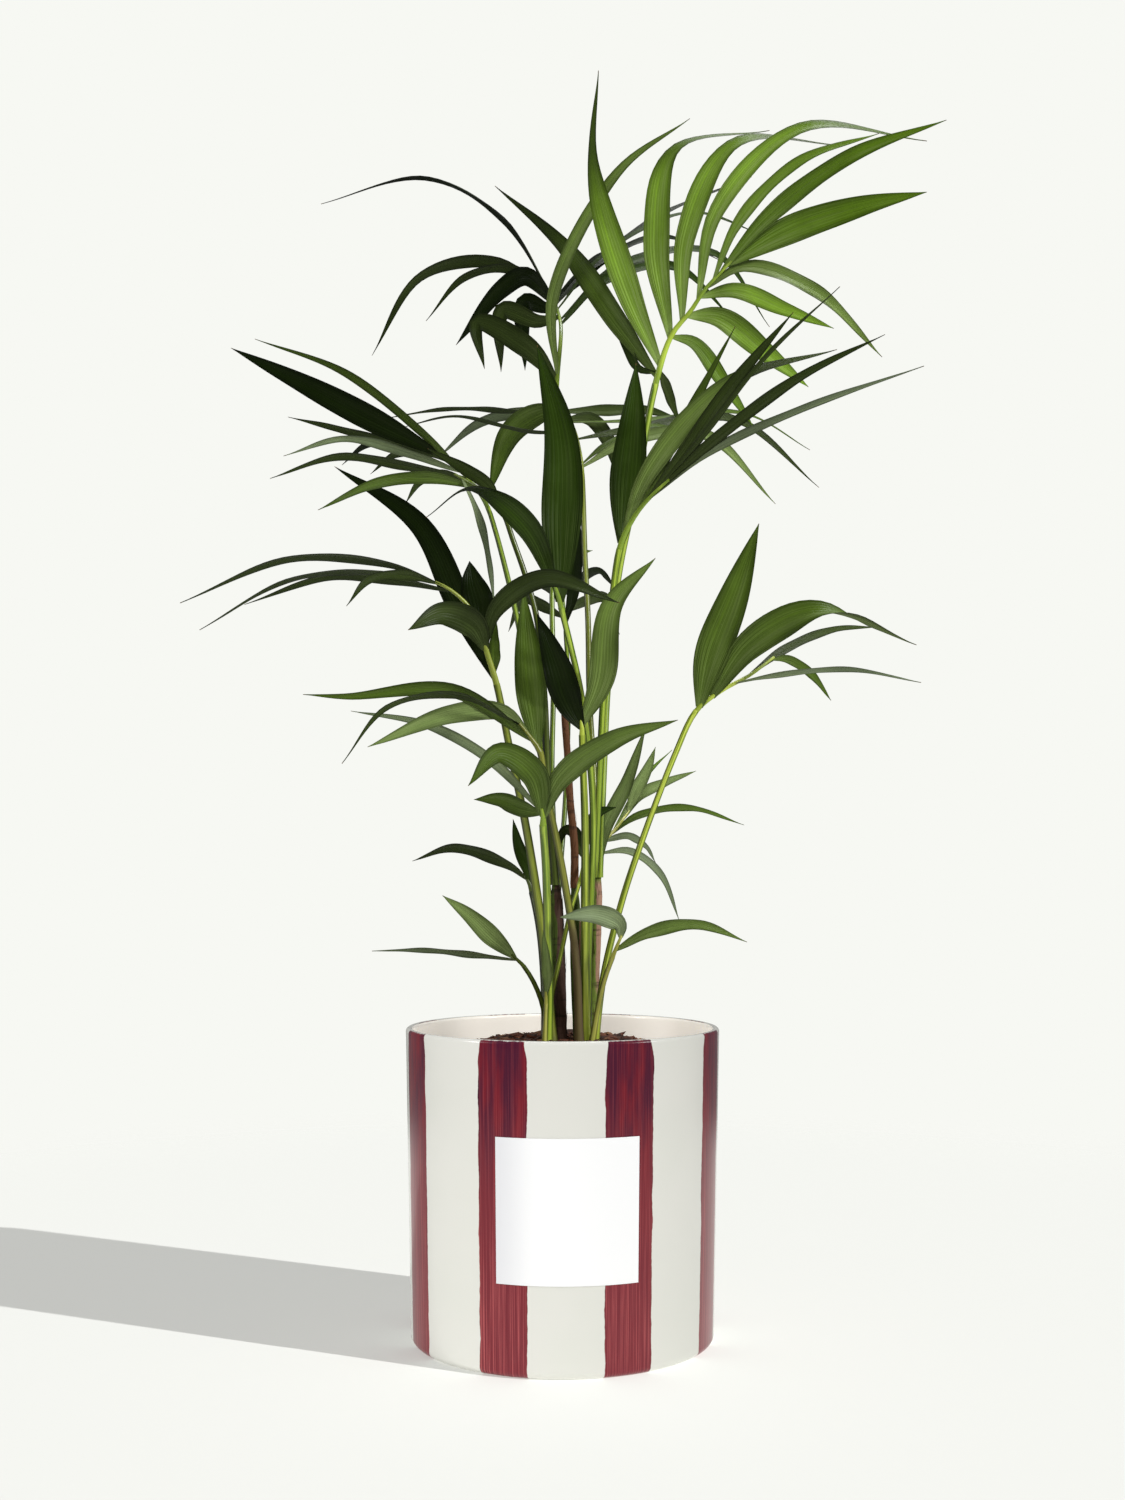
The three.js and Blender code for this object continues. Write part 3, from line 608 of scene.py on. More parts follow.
# The two tones of each kind of earth and of the bare clay, and how deep its grain goes.
EARTH_TONES = {
    "bisque": (srgb(214, 200, 178), srgb(198, 182, 158), 0.2 * MM),
    "earth": (srgb(48, 28, 18), srgb(28, 17, 12), 0.6 * MM),
    "chip_red": (srgb(104, 56, 34), srgb(72, 38, 24), 0.6 * MM),
    "chip_brown": (srgb(70, 42, 28), srgb(44, 26, 18), 0.6 * MM),
    "chip_pale": (srgb(136, 98, 66), srgb(100, 68, 44), 0.6 * MM),
}


def leaf_effect():
    """Veins and pleats along the blade, a pale midrib and foot, and a dry tip, with painted shade towards
    its edges and where it twists, and a painted highlight in a band beside the midrib. The blade's U runs
    across it and its V along it."""
    tree, given = open_effect("leaf_blade", {"Blade": COLOUR, "Foot": COLOUR, "Gloss": NUMBER})
    across, along, _ = Signal(add_node(tree, "ShaderNodeUVMap", uv_map="blade")).parts()
    from_rib = abs(across - 0.5)
    veins = vector(across * VEINS_ACROSS, along, 0.0).noise(1.0, 3.0, 0.6)
    rays = vector(across * RAYS_ACROSS, along * 2.5, 0.0).noise()
    pleats = (across * (2 * math.pi * PLEATS_ACROSS)).maths("SINE")
    mottle = object_place(tree).noise(70.0, 3.0, 0.6)
    drift = object_place(tree).noise(14.0, 1.0)

    # Painted shade darkens the blade towards its edges, and the broad drift lightens and darkens it in
    # patches as painted light; the veins and mottle are its own colour.
    shade = veins.remap(0.3, 0.7, 0.78, 1.2) + mottle.remap(0.3, 0.7, -0.07, 0.07)
    shade = (shade + drift.remap(0.3, 0.7, -0.12, 0.14)) * from_rib.remap(0.16, 0.49, 1.16, 0.5)
    gaps = rays.remap(0.36, 0.47, along.remap(0.05, 0.65, 0.55, 1.0), 1.0)
    toned = given["Blade"].shaded(shade).shaded(gaps)

    pale_rays = rays.remap(0.5, 0.6) * along.remap(0.05, 0.7, 1.0, 0.1)
    # A painted highlight: a pale band down one half of the blade, in broad patches.
    painted_highlight_band = abs(across - 0.66).remap(0.02, 0.17, 0.42, 0.0) * drift.remap(0.35, 0.6)
    painted_highlight_band = painted_highlight_band * along.remap(0.95, 0.7)
    flecks = object_place(tree).noise(420.0, 1.0).remap(0.75, 0.8, 0.0, 0.3)
    midrib = from_rib.remap(0.006, 0.03, 1.0, 0.0)
    foot = along.remap(0.0, 0.1, 0.6, 0.0)
    for share in (pale_rays, painted_highlight_band, flecks, midrib * 0.1, foot):
        toned = blend(share, toned, given["Foot"])
    # Painted shade darkens the upper side where the blade twists.
    toned = toned.shaded(attribute(tree, "turned").remap(0.3, 0.9, 1.0, 0.34))

    dry = (along + (mottle - 0.5) * 0.03).remap(DRY_FROM, DRY_FROM + 0.012)
    rough = given["Gloss"] + mottle.remap(0.3, 0.7, -0.05, 0.08) + dry * 0.3
    return close_effect(blend(dry, toned, DRY_TIP), rough, pleats * 0.22 + veins * 0.45 - midrib * 0.5)


def stalk_effect():
    """A smooth stalk in a brown sheath at its foot. Painted shade darkens its left side and its edges, and a
    painted highlight runs as a pale line down its front; its streaks follow it."""
    tree, given = open_effect("stalk_skin", {"Skin": COLOUR, "Streak And Highlight": COLOUR, "Sheath Top": NUMBER})
    _, _, up = object_place(tree).parts()
    aside, ahead, _ = attribute(tree, "facing", "Vector").parts()
    along = attribute(tree, "along")
    follow = vector(aside * 2.2, ahead * 2.2, along * 9.0)
    own = {1: stretched(tree, 60.0, 60.0, 3.0)}
    streaks = follow.through("ShaderNodeVectorMath", own, operation="ADD").noise()
    patches = stretched(tree, 60.0, 60.0, 22.0).noise(1.0, 3.0, 0.6)

    skin = blend(streaks.remap(0.42, 0.62, 0.0, 0.9), given["Skin"], given["Streak And Highlight"])
    # A painted highlight: a pale line down the stalk's front.
    skin = blend(abs(aside - HIGHLIGHT_LINE_AT).remap(0.05, 0.32, 0.6, 0.0), skin, given["Streak And Highlight"])
    # Painted shade darkens the left side and the right edge; the patches are the stalk's own mottling.
    mottle_and_side_shade = patches.remap(0.35, 0.75, 1.08, 0.84) * aside.remap(-0.92, -0.1, 0.26, 1.0)
    skin = skin.shaded(mottle_and_side_shade * aside.remap(0.5, 0.95, 1.0, 0.4))

    top = given["Sheath Top"]
    sheathed = (up + (patches - 0.5) * 0.05).remap(top, top - 0.02) * 0.85
    skin = blend(sheathed, skin, blend(streaks, SHEATH, SHEATH_DARK))
    return close_effect(skin, sheathed.remap(0.0, 1.0, 0.32, 0.75), streaks * (sheathed + 0.3))


def sheath_effect():
    """Old leaf sheaths: long fibres, green where they still live and brown where they have dried."""
    tree, given = open_effect("sheath_fibre", {
        "Live": COLOUR, "Dry": COLOUR, "Dark": COLOUR, "Dry From": NUMBER, "Live Above": NUMBER,
    })
    across, _, up = object_place(tree).parts()
    fibres = stretched(tree, 1500.0, 1500.0, 45.0).noise(1.0, 4.0, 0.65)
    patches = stretched(tree, 110.0, 110.0, 26.0).noise(1.0, 3.0, 0.6)
    scars = stretched(tree, 30.0, 30.0, 170.0).noise(1.0, 3.0, 0.7)
    from_strip = across + (patches - 0.5) * 0.012 - given["Dry From"]
    below_live = (up - given["Live Above"]).remap(0.0, 0.006, 1.0, 0.0)
    skin = blend(from_strip.remap(-0.0005, 0.0008) * below_live, given["Live"], given["Dry"])
    skin = blend(fibres.remap(0.5, 0.72), skin, given["Dark"])
    skin = blend(scars.remap(0.56, 0.66, 0.0, 0.7), skin, given["Dark"])
    return close_effect(skin, fibres.remap(0.3, 0.7, 0.62, 0.9), fibres - scars)


def stripe_effect():
    """Stripes brushed down a pale glaze. Lines of the brush run down each stripe, darker where the
    paint is thick near the rim and paler towards the foot."""
    tree, _ = open_effect("brushed_stripes", {})
    x, y, z = object_place(tree).parts()
    pitch = 360 / STRIPE_COUNT
    turn = (x.maths("ARCTAN2", y * -1.0).maths("DEGREES") - STRIPE_FIRST) / pitch
    stripe = turn.maths("ROUND")
    from_middle = (turn - stripe) * pitch
    own = stripe * 7.3

    # Where the paint ends: each edge wanders, sways with the whole stripe and draws in at the shoulder.
    sway = vector(own, z * 22.0, 0.0).noise()
    wander = vector(own, z * 60.0, from_middle.maths("SIGN") * 9.0).noise(1.0, 3.0, 0.6)
    shoulder = z.remap(STRIPE_TOP - STRIPE_SHOULDER, STRIPE_TOP, 0.0, 0.9)
    half = (wander - 0.5) * 1.3 + (STRIPE_WIDTH / 2 - 0.1) - shoulder
    inside = half - abs(from_middle + (sway - 0.5) * 1.1)
    chips = vector(turn * 30.0, own, 0.0).noise(1.0, 4.0, 0.7)
    below_top = (chips - 0.58) * (1.6 * MM) + STRIPE_TOP - z
    covered = inside.remap(-0.06, 0.14) * below_top.remap(-0.0002, 0.0004)

    lines = vector(turn * 130.0, z * 7.0, own).noise(1.0, 3.0, 0.7).remap(0.5, 0.64)
    fine = vector(turn * 210.0, z * 16.0, own).noise(1.0, 1.0).remap(0.55, 0.72)
    pools = vector(turn * 8.0, z * 13.0, own).noise(1.0, 3.0, 0.6).remap(0.32, 0.6)
    thin_share = z.remap(0.19, 0.02, 0.22, 1.0, "LINEAR")
    streak = (lines * thin_share + fine * (thin_share * 0.6)).maths("MINIMUM", 1.0)
    paint = blend(pools * z.remap(0.1, 0.175, 0.12, 1.0), PAINT, PAINT_THICK)
    paint = blend(streak * 0.8, paint, PAINT_THIN)

    clouds = object_place(tree).noise(16.0)
    glaze = blend(clouds.remap(0.3, 0.7, 0.0, 0.35), GLAZE, GLAZE_COOL)
    ripple = object_place(tree).noise(34.0, 1.0)
    return close_effect(
        blend(covered, glaze, paint), covered.remap(0.0, 1.0, 0.22, 0.3), covered * 0.25 + ripple)


def plain_effect(name, scale, detail, spread):
    """A colour that drifts between two tones, with a fine grain."""
    tree, given = open_effect(name, {"First": COLOUR, "Second": COLOUR, "Rough": NUMBER})
    drift = object_place(tree).noise(scale, detail, 0.6)
    grain = object_place(tree).noise(scale * 9, 3.0, 0.6)
    return close_effect(
        blend(drift.remap(0.5 - spread, 0.5 + spread), given["First"], given["Second"]),
        given["Rough"] + grain.remap(0.3, 0.7, -0.06, 0.08), drift + grain * 0.5)


def paper_effect():
    """White paper with a fine grain, and painted shade that greys it a little towards its left side."""
    tree, _ = open_effect("paper_grain", {})
    across, _, _ = object_place(tree).parts()
    grain = object_place(tree).noise(900.0, 3.0, 0.6)
    shaded = across.remap(LABEL_SHADE_FROM, LABEL_SHADE_TO, 0.9, 0.0)
    return close_effect(blend(shaded, PAPER, PAPER_SHADED), grain.remap(0.3, 0.7, 0.56, 0.7), grain)


MATERIALS = {}
SPECULAR = "Specular IOR Level"


def make_material(name, effect, values, depth, relief=1.0, shine=None):
    """A material whose colour, roughness and relief come from one effect with its own values; depth is
    how deep the relief goes."""
    material = bpy.data.materials.new(name)
    material.use_nodes = True
    tree = material.node_tree
    made = add_node(tree, "ShaderNodeGroup", values, node_tree=effect)
    bump = add_node(tree, "ShaderNodeBump", {
        "Strength": relief, "Distance": depth, "Height": Signal(made, "Height"),
    })
    feed(tree.nodes["Principled BSDF"], {
        "Base Color": Signal(made, "Colour"), "Roughness": Signal(made, "Roughness"),
        "Normal": Signal(bump), **(shine or {}),
    })
    MATERIALS[name] = material


def make_materials():
    leaf, stalk, sheath = leaf_effect(), stalk_effect(), sheath_effect()
    earth = plain_effect("earth_grain", 150.0, 5.0, 0.18)
    smooth = plain_effect("soft_grain", 30.0, 3.0, 0.25)
    for name, upper, under in LEAF_TONES.values():
        for side, blade, gloss in (("", upper, GLOSS_UPPER), ("_under", under, GLOSS_UNDER)):
            # The lighter the blade, the paler its foot and its rays.
            paled = min(0.6, 2.2 * blade[1])
            foot = [(1 - paled) * own + paled * pale for own, pale in zip(blade, PALE_FOOT)]
            values = {"Blade": blade, "Gloss": gloss, "Foot": foot}
            make_material(name + side, leaf, values, 0.2 * MM, shine={SPECULAR: 0.09})
    for name, (skin, streak) in STALK_TONES.items():
        values = {"Skin": skin, "Streak And Highlight": streak, "Sheath Top": SHEATH_TOPS.get(name, SHEATH_TOP)}
        make_material("stalk_" + name, stalk, values, 0.2 * MM)
    for name, (live, dry, dark, dry_from, live_above) in TRUNK_TONES.items():
        make_material("skin_" + name, sheath, {
            "Live": live, "Dry": dry, "Dark": dark, "Dry From": dry_from * MM, "Live Above": live_above * MM,
        }, 0.5 * MM, shine={SPECULAR: 0.3})
    make_material("glaze_striped", stripe_effect(), {}, 0.15 * MM, 0.35, {
        "Coat Weight": 0.25, "Coat Roughness": 0.06, SPECULAR: 0.35,
    })
    # The inside glows a little: painted light that lifts its shaded wall.
    make_material("glaze_inside", smooth, {
        "First": srgb(252, 247, 238), "Second": srgb(249, 242, 231), "Rough": 0.25,
    }, 0.1 * MM, 0.3, {
        "Coat Weight": 0.4, "Coat Roughness": 0.08,
        "Emission Color": srgb(250, 244, 232), "Emission Strength": 0.33,
    })
    # The label's faint glow is painted light.
    make_material("label_paper", paper_effect(), {}, 0.03 * MM, 0.4, {
        "Emission Color": srgb(255, 255, 255), "Emission Strength": 0.06,
    })
    for name, (first, second, depth) in EARTH_TONES.items():
        make_material(name, earth, {"First": first, "Second": second, "Rough": EARTH_ROUGH}, depth)


make_materials()


# ---- meshes ----
def new_object(name, data):
    made = bpy.data.objects.new(name, data)
    bpy.context.scene.collection.objects.link(made)
    return made


class Shape:
    """Vertices and faces gathered for one piece, each face with its material and each vertex with
    its place on the blade."""

    def __init__(self):
        self.points, self.faces, self.paints, self.places = [], [], [], []
        self.count = 0

    def add(self, points, faces, paint, places=None):
        """paint is one material name, or one for each face."""
        self.points.append(np.asarray(points))
        self.faces += [[corner + self.count for corner in face] for face in faces]
        self.paints += [paint] * len(faces) if isinstance(paint, str) else list(paint)
        self.places.append(np.zeros((len(points), 3)) if places is None else places)
        self.count += len(points)

    def piece(self, name, sharp_from=50):
        mesh = bpy.data.meshes.new(name)
        mesh.from_pydata(np.vstack(self.points).tolist(), [], self.faces)
        names = sorted(set(self.paints))
        for material in names:
            mesh.materials.append(MATERIALS[material])
        mesh.polygons.foreach_set("material_index", [names.index(paint) for paint in self.paints])
        corners = np.empty(len(mesh.loops), dtype=np.int32)
        mesh.loops.foreach_get("vertex_index", corners)
        places = np.vstack(self.places)
        mesh.uv_layers.new(name="blade").data.foreach_set("uv", places[corners, :2].ravel())
        turned = mesh.attributes.new("turned", "FLOAT", "POINT")
        turned.data.foreach_set("value", places[:, 2].astype(np.float32))
        mesh.shade_smooth()
        mesh.set_sharp_from_angle(angle=math.radians(sharp_from))
        mesh.update()
        return new_object(name, mesh)


def skin_of_rings(rows, sides):
    """Faces round a stack of rings of equal size, with both ends closed."""
    faces = [list(range(sides))[::-1]]
    for row in range(rows - 1):
        for side in range(sides):
            after = (side + 1) % sides
            low, high = row * sides, (row + 1) * sides
            faces.append([low + side, low + after, high + after, high + side])
    faces.append([(rows - 1) * sides + side for side in range(sides)])
    return faces


def unit(vectors):
    return vectors / np.maximum(np.linalg.norm(vectors, axis=-1, keepdims=True), 1e-12)


def place(points):
    """Elevation points with a depth, in millimetres, as points in space."""
    points = np.asarray(points, dtype=float)
    grow = 1 + points[:, 2] / EYE_BACK
    return np.column_stack((points[:, 0] * grow, points[:, 2], EYE_UP + (points[:, 1] - EYE_UP) * grow))


class Path:
    """A smooth curve through points, in millimetres, told by the distance from its start."""

    STEPS = 40

    def __init__(self, points):
        points = np.asarray(points, dtype=float)
        knots = np.vstack((2 * points[0] - points[1], points, 2 * points[-1] - points[-2]))
        runs = [self.run(knots[i:i + 4]) for i in range(len(points) - 1)]
        self.samples = np.vstack((*runs, points[-1:]))
        steps = np.linalg.norm(np.diff(self.samples, axis=0), axis=1)
        self.travelled = np.concatenate(([0], np.cumsum(steps)))
        self.length = self.travelled[-1]

    def run(self, knots):
        """The stretch between the middle two of four knots, spaced by the root of their distances."""
        gaps = np.sqrt(np.linalg.norm(np.diff(knots, axis=0), axis=1))
        a, b, c, d = knots
        first = (b - a) / gaps[0] - (c - a) / (gaps[0] + gaps[1]) + (c - b) / gaps[1]
        last = (c - b) / gaps[1] - (d - b) / (gaps[1] + gaps[2]) + (d - c) / gaps[2]
        first, last = first * gaps[1], last * gaps[1]
        t = np.arange(self.STEPS)[:, None] / self.STEPS
        return (b + first * t + (3 * (c - b) - 2 * first - last) * t**2
                + (2 * (b - c) + first + last) * t**3)

    def at(self, distances):
        return np.column_stack([np.interp(distances, self.travelled, axis) for axis in self.samples.T])

    def along(self, distances):
        step = self.length / 200
        ahead = self.at(np.minimum(distances + step, self.length))
        behind = self.at(np.maximum(distances - step, 0))
        return unit(ahead - behind)

    def nearest(self, point):
        return self.travelled[np.argmin(np.linalg.norm(self.samples - point, axis=1))]


# ---- what grows along a line or over a surface ----
GEOMETRY, MATERIAL = "NodeSocketGeometry", "NodeSocketMaterial"


def open_growth(name, inputs):
    inputs = {"Geometry": GEOMETRY, **inputs, "Material": MATERIAL}
    return open_group(name, GROWTH, inputs, {"Geometry": GEOMETRY})


def close_growth(geometry):
    add_node(geometry.tree, "NodeGroupOutput", {"Geometry": geometry})
    return geometry.tree


def painted(geometry, given):
    return geometry.through("GeometryNodeSetMaterial", {"Material": given["Material"]})


def noted(geometry, name, kind, value):
    """The geometry with a value noted at each of its points under a name."""
    feeds = {"Name": name, "Value": value}
    return geometry.through("GeometryNodeStoreNamedAttribute", feeds, data_type=kind)


def random_value(seed, extra, low, high):
    """A number, or a vector, drawn anew for each thing; extra keeps the draws of one seed apart."""
    kind, first, output = ("FLOAT_VECTOR", 0, 0) if isinstance(low, tuple) else ("FLOAT", 2, 1)
    feeds = {first: low, first + 1: high, "Seed": seed + float(extra)}
    return Signal(add_node(seed.tree, "FunctionNodeRandomValue", feeds, data_type=kind), output)


def strewn(given, thing, tilt, size):
    """Copies of a thing on points strewn over the given surface."""
    feeds = {"Density": given["Density"], "Seed": given["Seed"]}
    points = given["Geometry"].through("GeometryNodeDistributePointsOnFaces", feeds)
    feeds = {"Instance": thing, "Rotation": tilt, "Scale": size}
    copies = points.through("GeometryNodeInstanceOnPoints", feeds)
    return painted(copies.through("GeometryNodeRealizeInstances"), given)


def make_limb_tree():
    """A closed round limb along a line, of each point's own radius. It notes how far along the line and
    which way each point of its skin lies."""
    tree, given = open_growth("limb", {"Sides": STALK_SIDES})
    radius = Signal(add_node(tree, "GeometryNodeInputNamedAttribute", {"Name": "limb_radius"}))
    travelled = Signal(add_node(tree, "GeometryNodeSplineParameter"), "Length")
    outward = Signal(add_node(tree, "GeometryNodeInputNormal"))
    ring = Signal(add_node(tree, "GeometryNodeCurvePrimitiveCircle", {"Resolution": given["Sides"]}))
    curve = noted(given["Geometry"].through("GeometryNodeMeshToCurve"), "along", "FLOAT", travelled)
    feeds = {"Profile Curve": ring, "Scale": radius, "Fill Caps": True}
    limb = noted(curve.through("GeometryNodeCurveToMesh", feeds), "facing", "FLOAT_VECTOR", outward)
    return close_growth(painted(limb, given))


def make_chip_tree():
    """Flat splinters of wood strewn over a surface and pressed a little into it."""
    tree, given = open_growth("strewn_chips", {"Density": 1.0, "Length": 9 * MM, "Seed": 1})
    seed = given["Seed"]
    splinter = Signal(add_node(tree, "GeometryNodeMeshCylinder", {
        "Vertices": 5, "Radius": 0.5, "Depth": 1.0,
    }))
    ragged = random_value(seed, 3, (-0.2, -0.2, -0.15), (0.2, 0.2, 0.15))
    splinter = splinter.through("GeometryNodeSetPosition", {"Offset": ragged})
    length = given["Length"] * random_value(seed, 5, 0.35, 1.3)
    breadth = length * random_value(seed, 7, 0.3, 0.75)
    tilt = random_value(seed, 9, (1.1, -0.45, -math.pi), (2.0, 0.45, math.pi))
    return close_growth(strewn(given, splinter, tilt, vector(breadth, breadth * 0.4, length)))


def make_fibre_tree():
    """A limb with fine hairs that stand off it and hang along it."""
    tree, given = open_growth("fibres", {
        "Density": 1.0, "Length": 12 * MM, "Thickness": 0.12 * MM, "Seed": 1,
    })
    hair = Signal(add_node(tree, "GeometryNodeMeshCone", {
        "Vertices": 3, "Radius Top": 0.15, "Radius Bottom": 1.0, "Depth": 1.0,
    }))
    length = given["Length"] * random_value(given["Seed"], 5, 0.3, 1.2)
    lean = random_value(given["Seed"], 9, (-0.16, -0.16, -math.pi), (0.16, 0.16, math.pi))
    hairs = strewn(given, hair, lean, vector(given["Thickness"], given["Thickness"], length))
    both = add_node(tree, "GeometryNodeJoinGeometry", {"Geometry": hairs})
    feed(both, {"Geometry": given["Geometry"]})
    return close_growth(Signal(both))


LIMB_TREE = make_limb_tree()
CHIP_TREE = make_chip_tree()
FIBRE_TREE = make_fibre_tree()


def grown(source, name, tree, values):
    """The mesh that a tree grows on a source object, as an object of its own."""
    modifier = source.modifiers.new("grow", "NODES")
    modifier.node_group = tree
    for item in tree.interface.items_tree:
        if item.in_out == "INPUT" and item.name in values:
            value = values[item.name]
            modifier[item.identifier] = MATERIALS[value] if isinstance(value, str) else value
    graph = bpy.context.evaluated_depsgraph_get()
    mesh = bpy.data.meshes.new_from_object(source.evaluated_get(graph))
    mesh.name = name
    source.modifiers.remove(modifier)
    bpy.data.objects.remove(source)
    return new_object(name, mesh)


def add_limb(name, line, radii, sides, skin):
    """A limb along a line, its foot sunk in what it stands in. The line and its radii are in
    millimetres."""
    line = np.vstack((line[0] - (0, 0, STEM_SUNK), line)) * MM
    radii = np.concatenate((radii[:1], radii)) * MM
    mesh = bpy.data.meshes.new("line")
    mesh.from_pydata(line.tolist(), [(i, i + 1) for i in range(len(line) - 1)], [])
    layer = mesh.attributes.new("limb_radius", "FLOAT", "POINT")
    layer.data.foreach_set("value", radii.astype(np.float32))
    limb = grown(new_object("line", mesh), name, LIMB_TREE, {"Sides": sides, "Material": skin})
    limb.data.shade_smooth()
    return limb


def declare(piece, node):
    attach(piece, "root")
    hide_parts(node)


# ---- leaves and stems ----
def blade_share(t):
    """How much of its full width a blade has along its length."""
    rise = np.sin(math.pi / 2 * np.minimum(t / BLADE_WIDEST, 1))
    fall = 1 - np.clip((t - BLADE_WIDEST) / (1 - BLADE_WIDEST), 0, 1) ** BLADE_TAPER
    return np.where(t < BLADE_WIDEST, BLADE_FOOT_SHARE + (1 - BLADE_FOOT_SHARE) * rise, fall)


def leaf_path(foot, row):
    """The midrib of a leaflet: it rises from its foot to its crest and droops to its tip."""
    grow = 1 + foot[1] / EYE_BACK
    start = [foot[0] / grow, EYE_UP + (foot[2] - EYE_UP) / grow]
    stops = np.array([start, row[1:3], row[3:5], row[5:7]])
    travelled = np.concatenate(([0], np.cumsum(np.linalg.norm(np.diff(stops, axis=0), axis=1))))
    depths = foot[1] + (row[7] - foot[1]) * travelled / travelled[-1]
    return Path(place(np.column_stack((stops, depths))))


def add_blade(shape, foot, row, upper, chance):
    """A closed thin blade, folded along its midrib, pleated along its length and a little wavy. upper
    is the material of its upper side."""
    path = leaf_path(foot, row)
    t = np.linspace(0, 1, BLADE_STATIONS) ** BLADE_CROWDING
    centre, along = path.at(t * path.length), path.along(t * path.length)
    to_eye = np.array([0, -EYE_BACK, EYE_UP]) - centre
    to_eye = unit(to_eye - along * np.sum(to_eye * along, axis=1)[:, None])
    across = np.cross(along, to_eye)
    rolls = row[9:]
    turned = np.clip((t - BLADE_TWIST_FROM) / (BLADE_TWIST_TO - BLADE_TWIST_FROM), 0, 1)
    roll = np.radians(rolls[0] + (rolls[-1] - rolls[0]) * turned**2 * (3 - 2 * turned))[:, None]
    # turned also sets the painted shade of the upper side where the blade twists.
    turned = turned[:, None] * (len(rolls) == 2 and rolls[-1] < ROLL_SHOWS_UNDERSIDE)
    side = across * np.cos(roll) + to_eye * np.sin(roll)
    face = np.cross(side, along)
    half = np.maximum(row[8] / 2 * blade_share(t), BLADE_LEAST)

    strips = np.linspace(-1, 1, BLADE_STRIPS + 1)
    phase, beat, lift = (chance.uniform(*span) for span in ((0, 2 * math.pi), BLADE_WAVES, BLADE_WAVE_LIFT))
    wave = lift * np.sin(2 * math.pi * beat * t + phase)[:, None] * strips * np.abs(strips)
    fold = BLADE_FOLD * np.abs(strips) ** BLADE_FOLD_CURVE
    pleat = BLADE_PLEAT * np.cos(np.arange(BLADE_STRIPS + 1) * math.pi) * (1 - strips**4)
    proud = half[:, None] * ((fold + wave) * (1 - BLADE_UNFOLDS * turned) + pleat)
    thick = BLADE_THICK / 2 * (1 - strips**4)
    ridge = MIDRIB_PROUD * np.exp(-(strips / MIDRIB_WIDTH) ** 2)
    top, under = [], []
    for column, strip in enumerate(strips):
        middle = centre + side * (half * strip)[:, None] + face * proud[:, column:column + 1]
        top.append(middle + face * thick[column])
        under.append(middle - face * (thick[column] + ridge[column] * (1 - t))[:, None])
    ring = np.stack(top + under[-2:0:-1], axis=1)

    rows, around = ring.shape[:2]
    lower = upper + "_under"
    band = [upper] * BLADE_STRIPS + [lower] * (around - BLADE_STRIPS)
    u = np.concatenate((strips, strips[-2:0:-1])) / 2 + 0.5
    places = np.stack((*np.meshgrid(u, t), np.repeat(turned, around, axis=1)), axis=-1)
    paints = [lower, *band * (rows - 1), lower]
    shape.add(ring.reshape(-1, 3) * MM, skin_of_rings(rows, around), paints, places.reshape(-1, 3))


def add_rib(shape, path, split, radius, skin):
    """The rib that bears the leaflets, thinning to the end of its path."""
    distances = np.linspace(split - RIB_SUNK, path.length, max(5, int((path.length - split) / RIB_STEP)))
    shares = np.linspace(0, 1, len(distances))
    centres, along = path.at(distances), path.along(distances)
    first = unit(np.array([0, 1, 0]) - along * along[:, 1:2])
    second = np.cross(along, first)
    turns = np.linspace(0, 2 * math.pi, RIB_SIDES, endpoint=False)[:, None]
    rings = []
    for row, share in enumerate(shares):
        reach = RIB_SHARE * radius + (RIB_TIP_RADIUS - RIB_SHARE * radius) * share
        rings.append(centres[row] + reach * (np.cos(turns) * first[row] + np.sin(turns) * second[row]))
    shape.add(np.vstack(rings) * MM, skin_of_rings(len(rings), RIB_SIDES), skin)


def add_frond(name, chance):
    """A stalk with its rib and leaflets."""
    tone, foot, top, stalk, rib, leaf_tones, leaves = FRONDS[name]
    skin = "stalk_" + tone
    from_soil = stalk[0][1] == SOIL_LINE
    points = place(stalk + rib)
    if from_soil:
        points[0, 2] = SOIL_LINE
    path = Path(points)
    split = path.nearest(points[len(stalk) - 1])

    shares = np.linspace(0, 1, max(6, int(split / STALK_STEP)) + 1)
    line = path.at(shares * split)
    radii = foot + (top - foot) * shares
    if from_soil:
        above = np.maximum(line[:, 2] - SOIL_LINE, 0)
        radii = radii * (1 + STALK_FLARE * np.exp(-above / STALK_FLARE_HEIGHT))
    declare(add_limb("limb_" + name, line, radii, STALK_SIDES, skin), "stalk_" + name)

    shape = Shape()
    add_rib(shape, path, split, top, skin)
    reach = path.length - split
    for row, letter in zip(leaves, leaf_tones, strict=True):
        start = path.at([split + max(BLADE_FOOT_CLEAR, row[0] * reach)])[0]
        add_blade(shape, start, row, LEAF_TONES[letter][0], chance)
    declare(shape.piece("leaves_" + name, 40), "frond_" + name)


def add_trunk(name, seed):
    """An upright stem in its sheaths, bristling with fibres."""
    foot, tip, points = TRUNKS[name]
    path = Path([[x, depth, up] for x, up, depth in points])
    shares = np.linspace(0, 1, max(8, int(path.length / STEM_STEP)) + 1)
    radii = foot + (tip - foot) * shares
    radii = radii * (1 - STEM_ROUGHNESS * np.random.default_rng(seed).random(len(shares)))
    near_tip = np.clip(1 - (1 - shares) * path.length / STEM_TAPER, 0, 1)
    radii = radii * (1 - STEM_TAPER_SHARE * near_tip)
    skin = "skin_" + name
    core = add_limb("core", path.at(shares * path.length), radii, STEM_SIDES, skin)
    values = {**STEM_HAIRS, "Seed": seed, "Material": skin}
    declare(grown(core, "sheath_" + name, FIBRE_TREE, values), name)


# ---- the pot and what is in it ----
def pot_radius(z):
    return POT_FOOT_RADIUS + (POT_RIM_RADIUS - POT_FOOT_RADIUS) * z / POT_HEIGHT


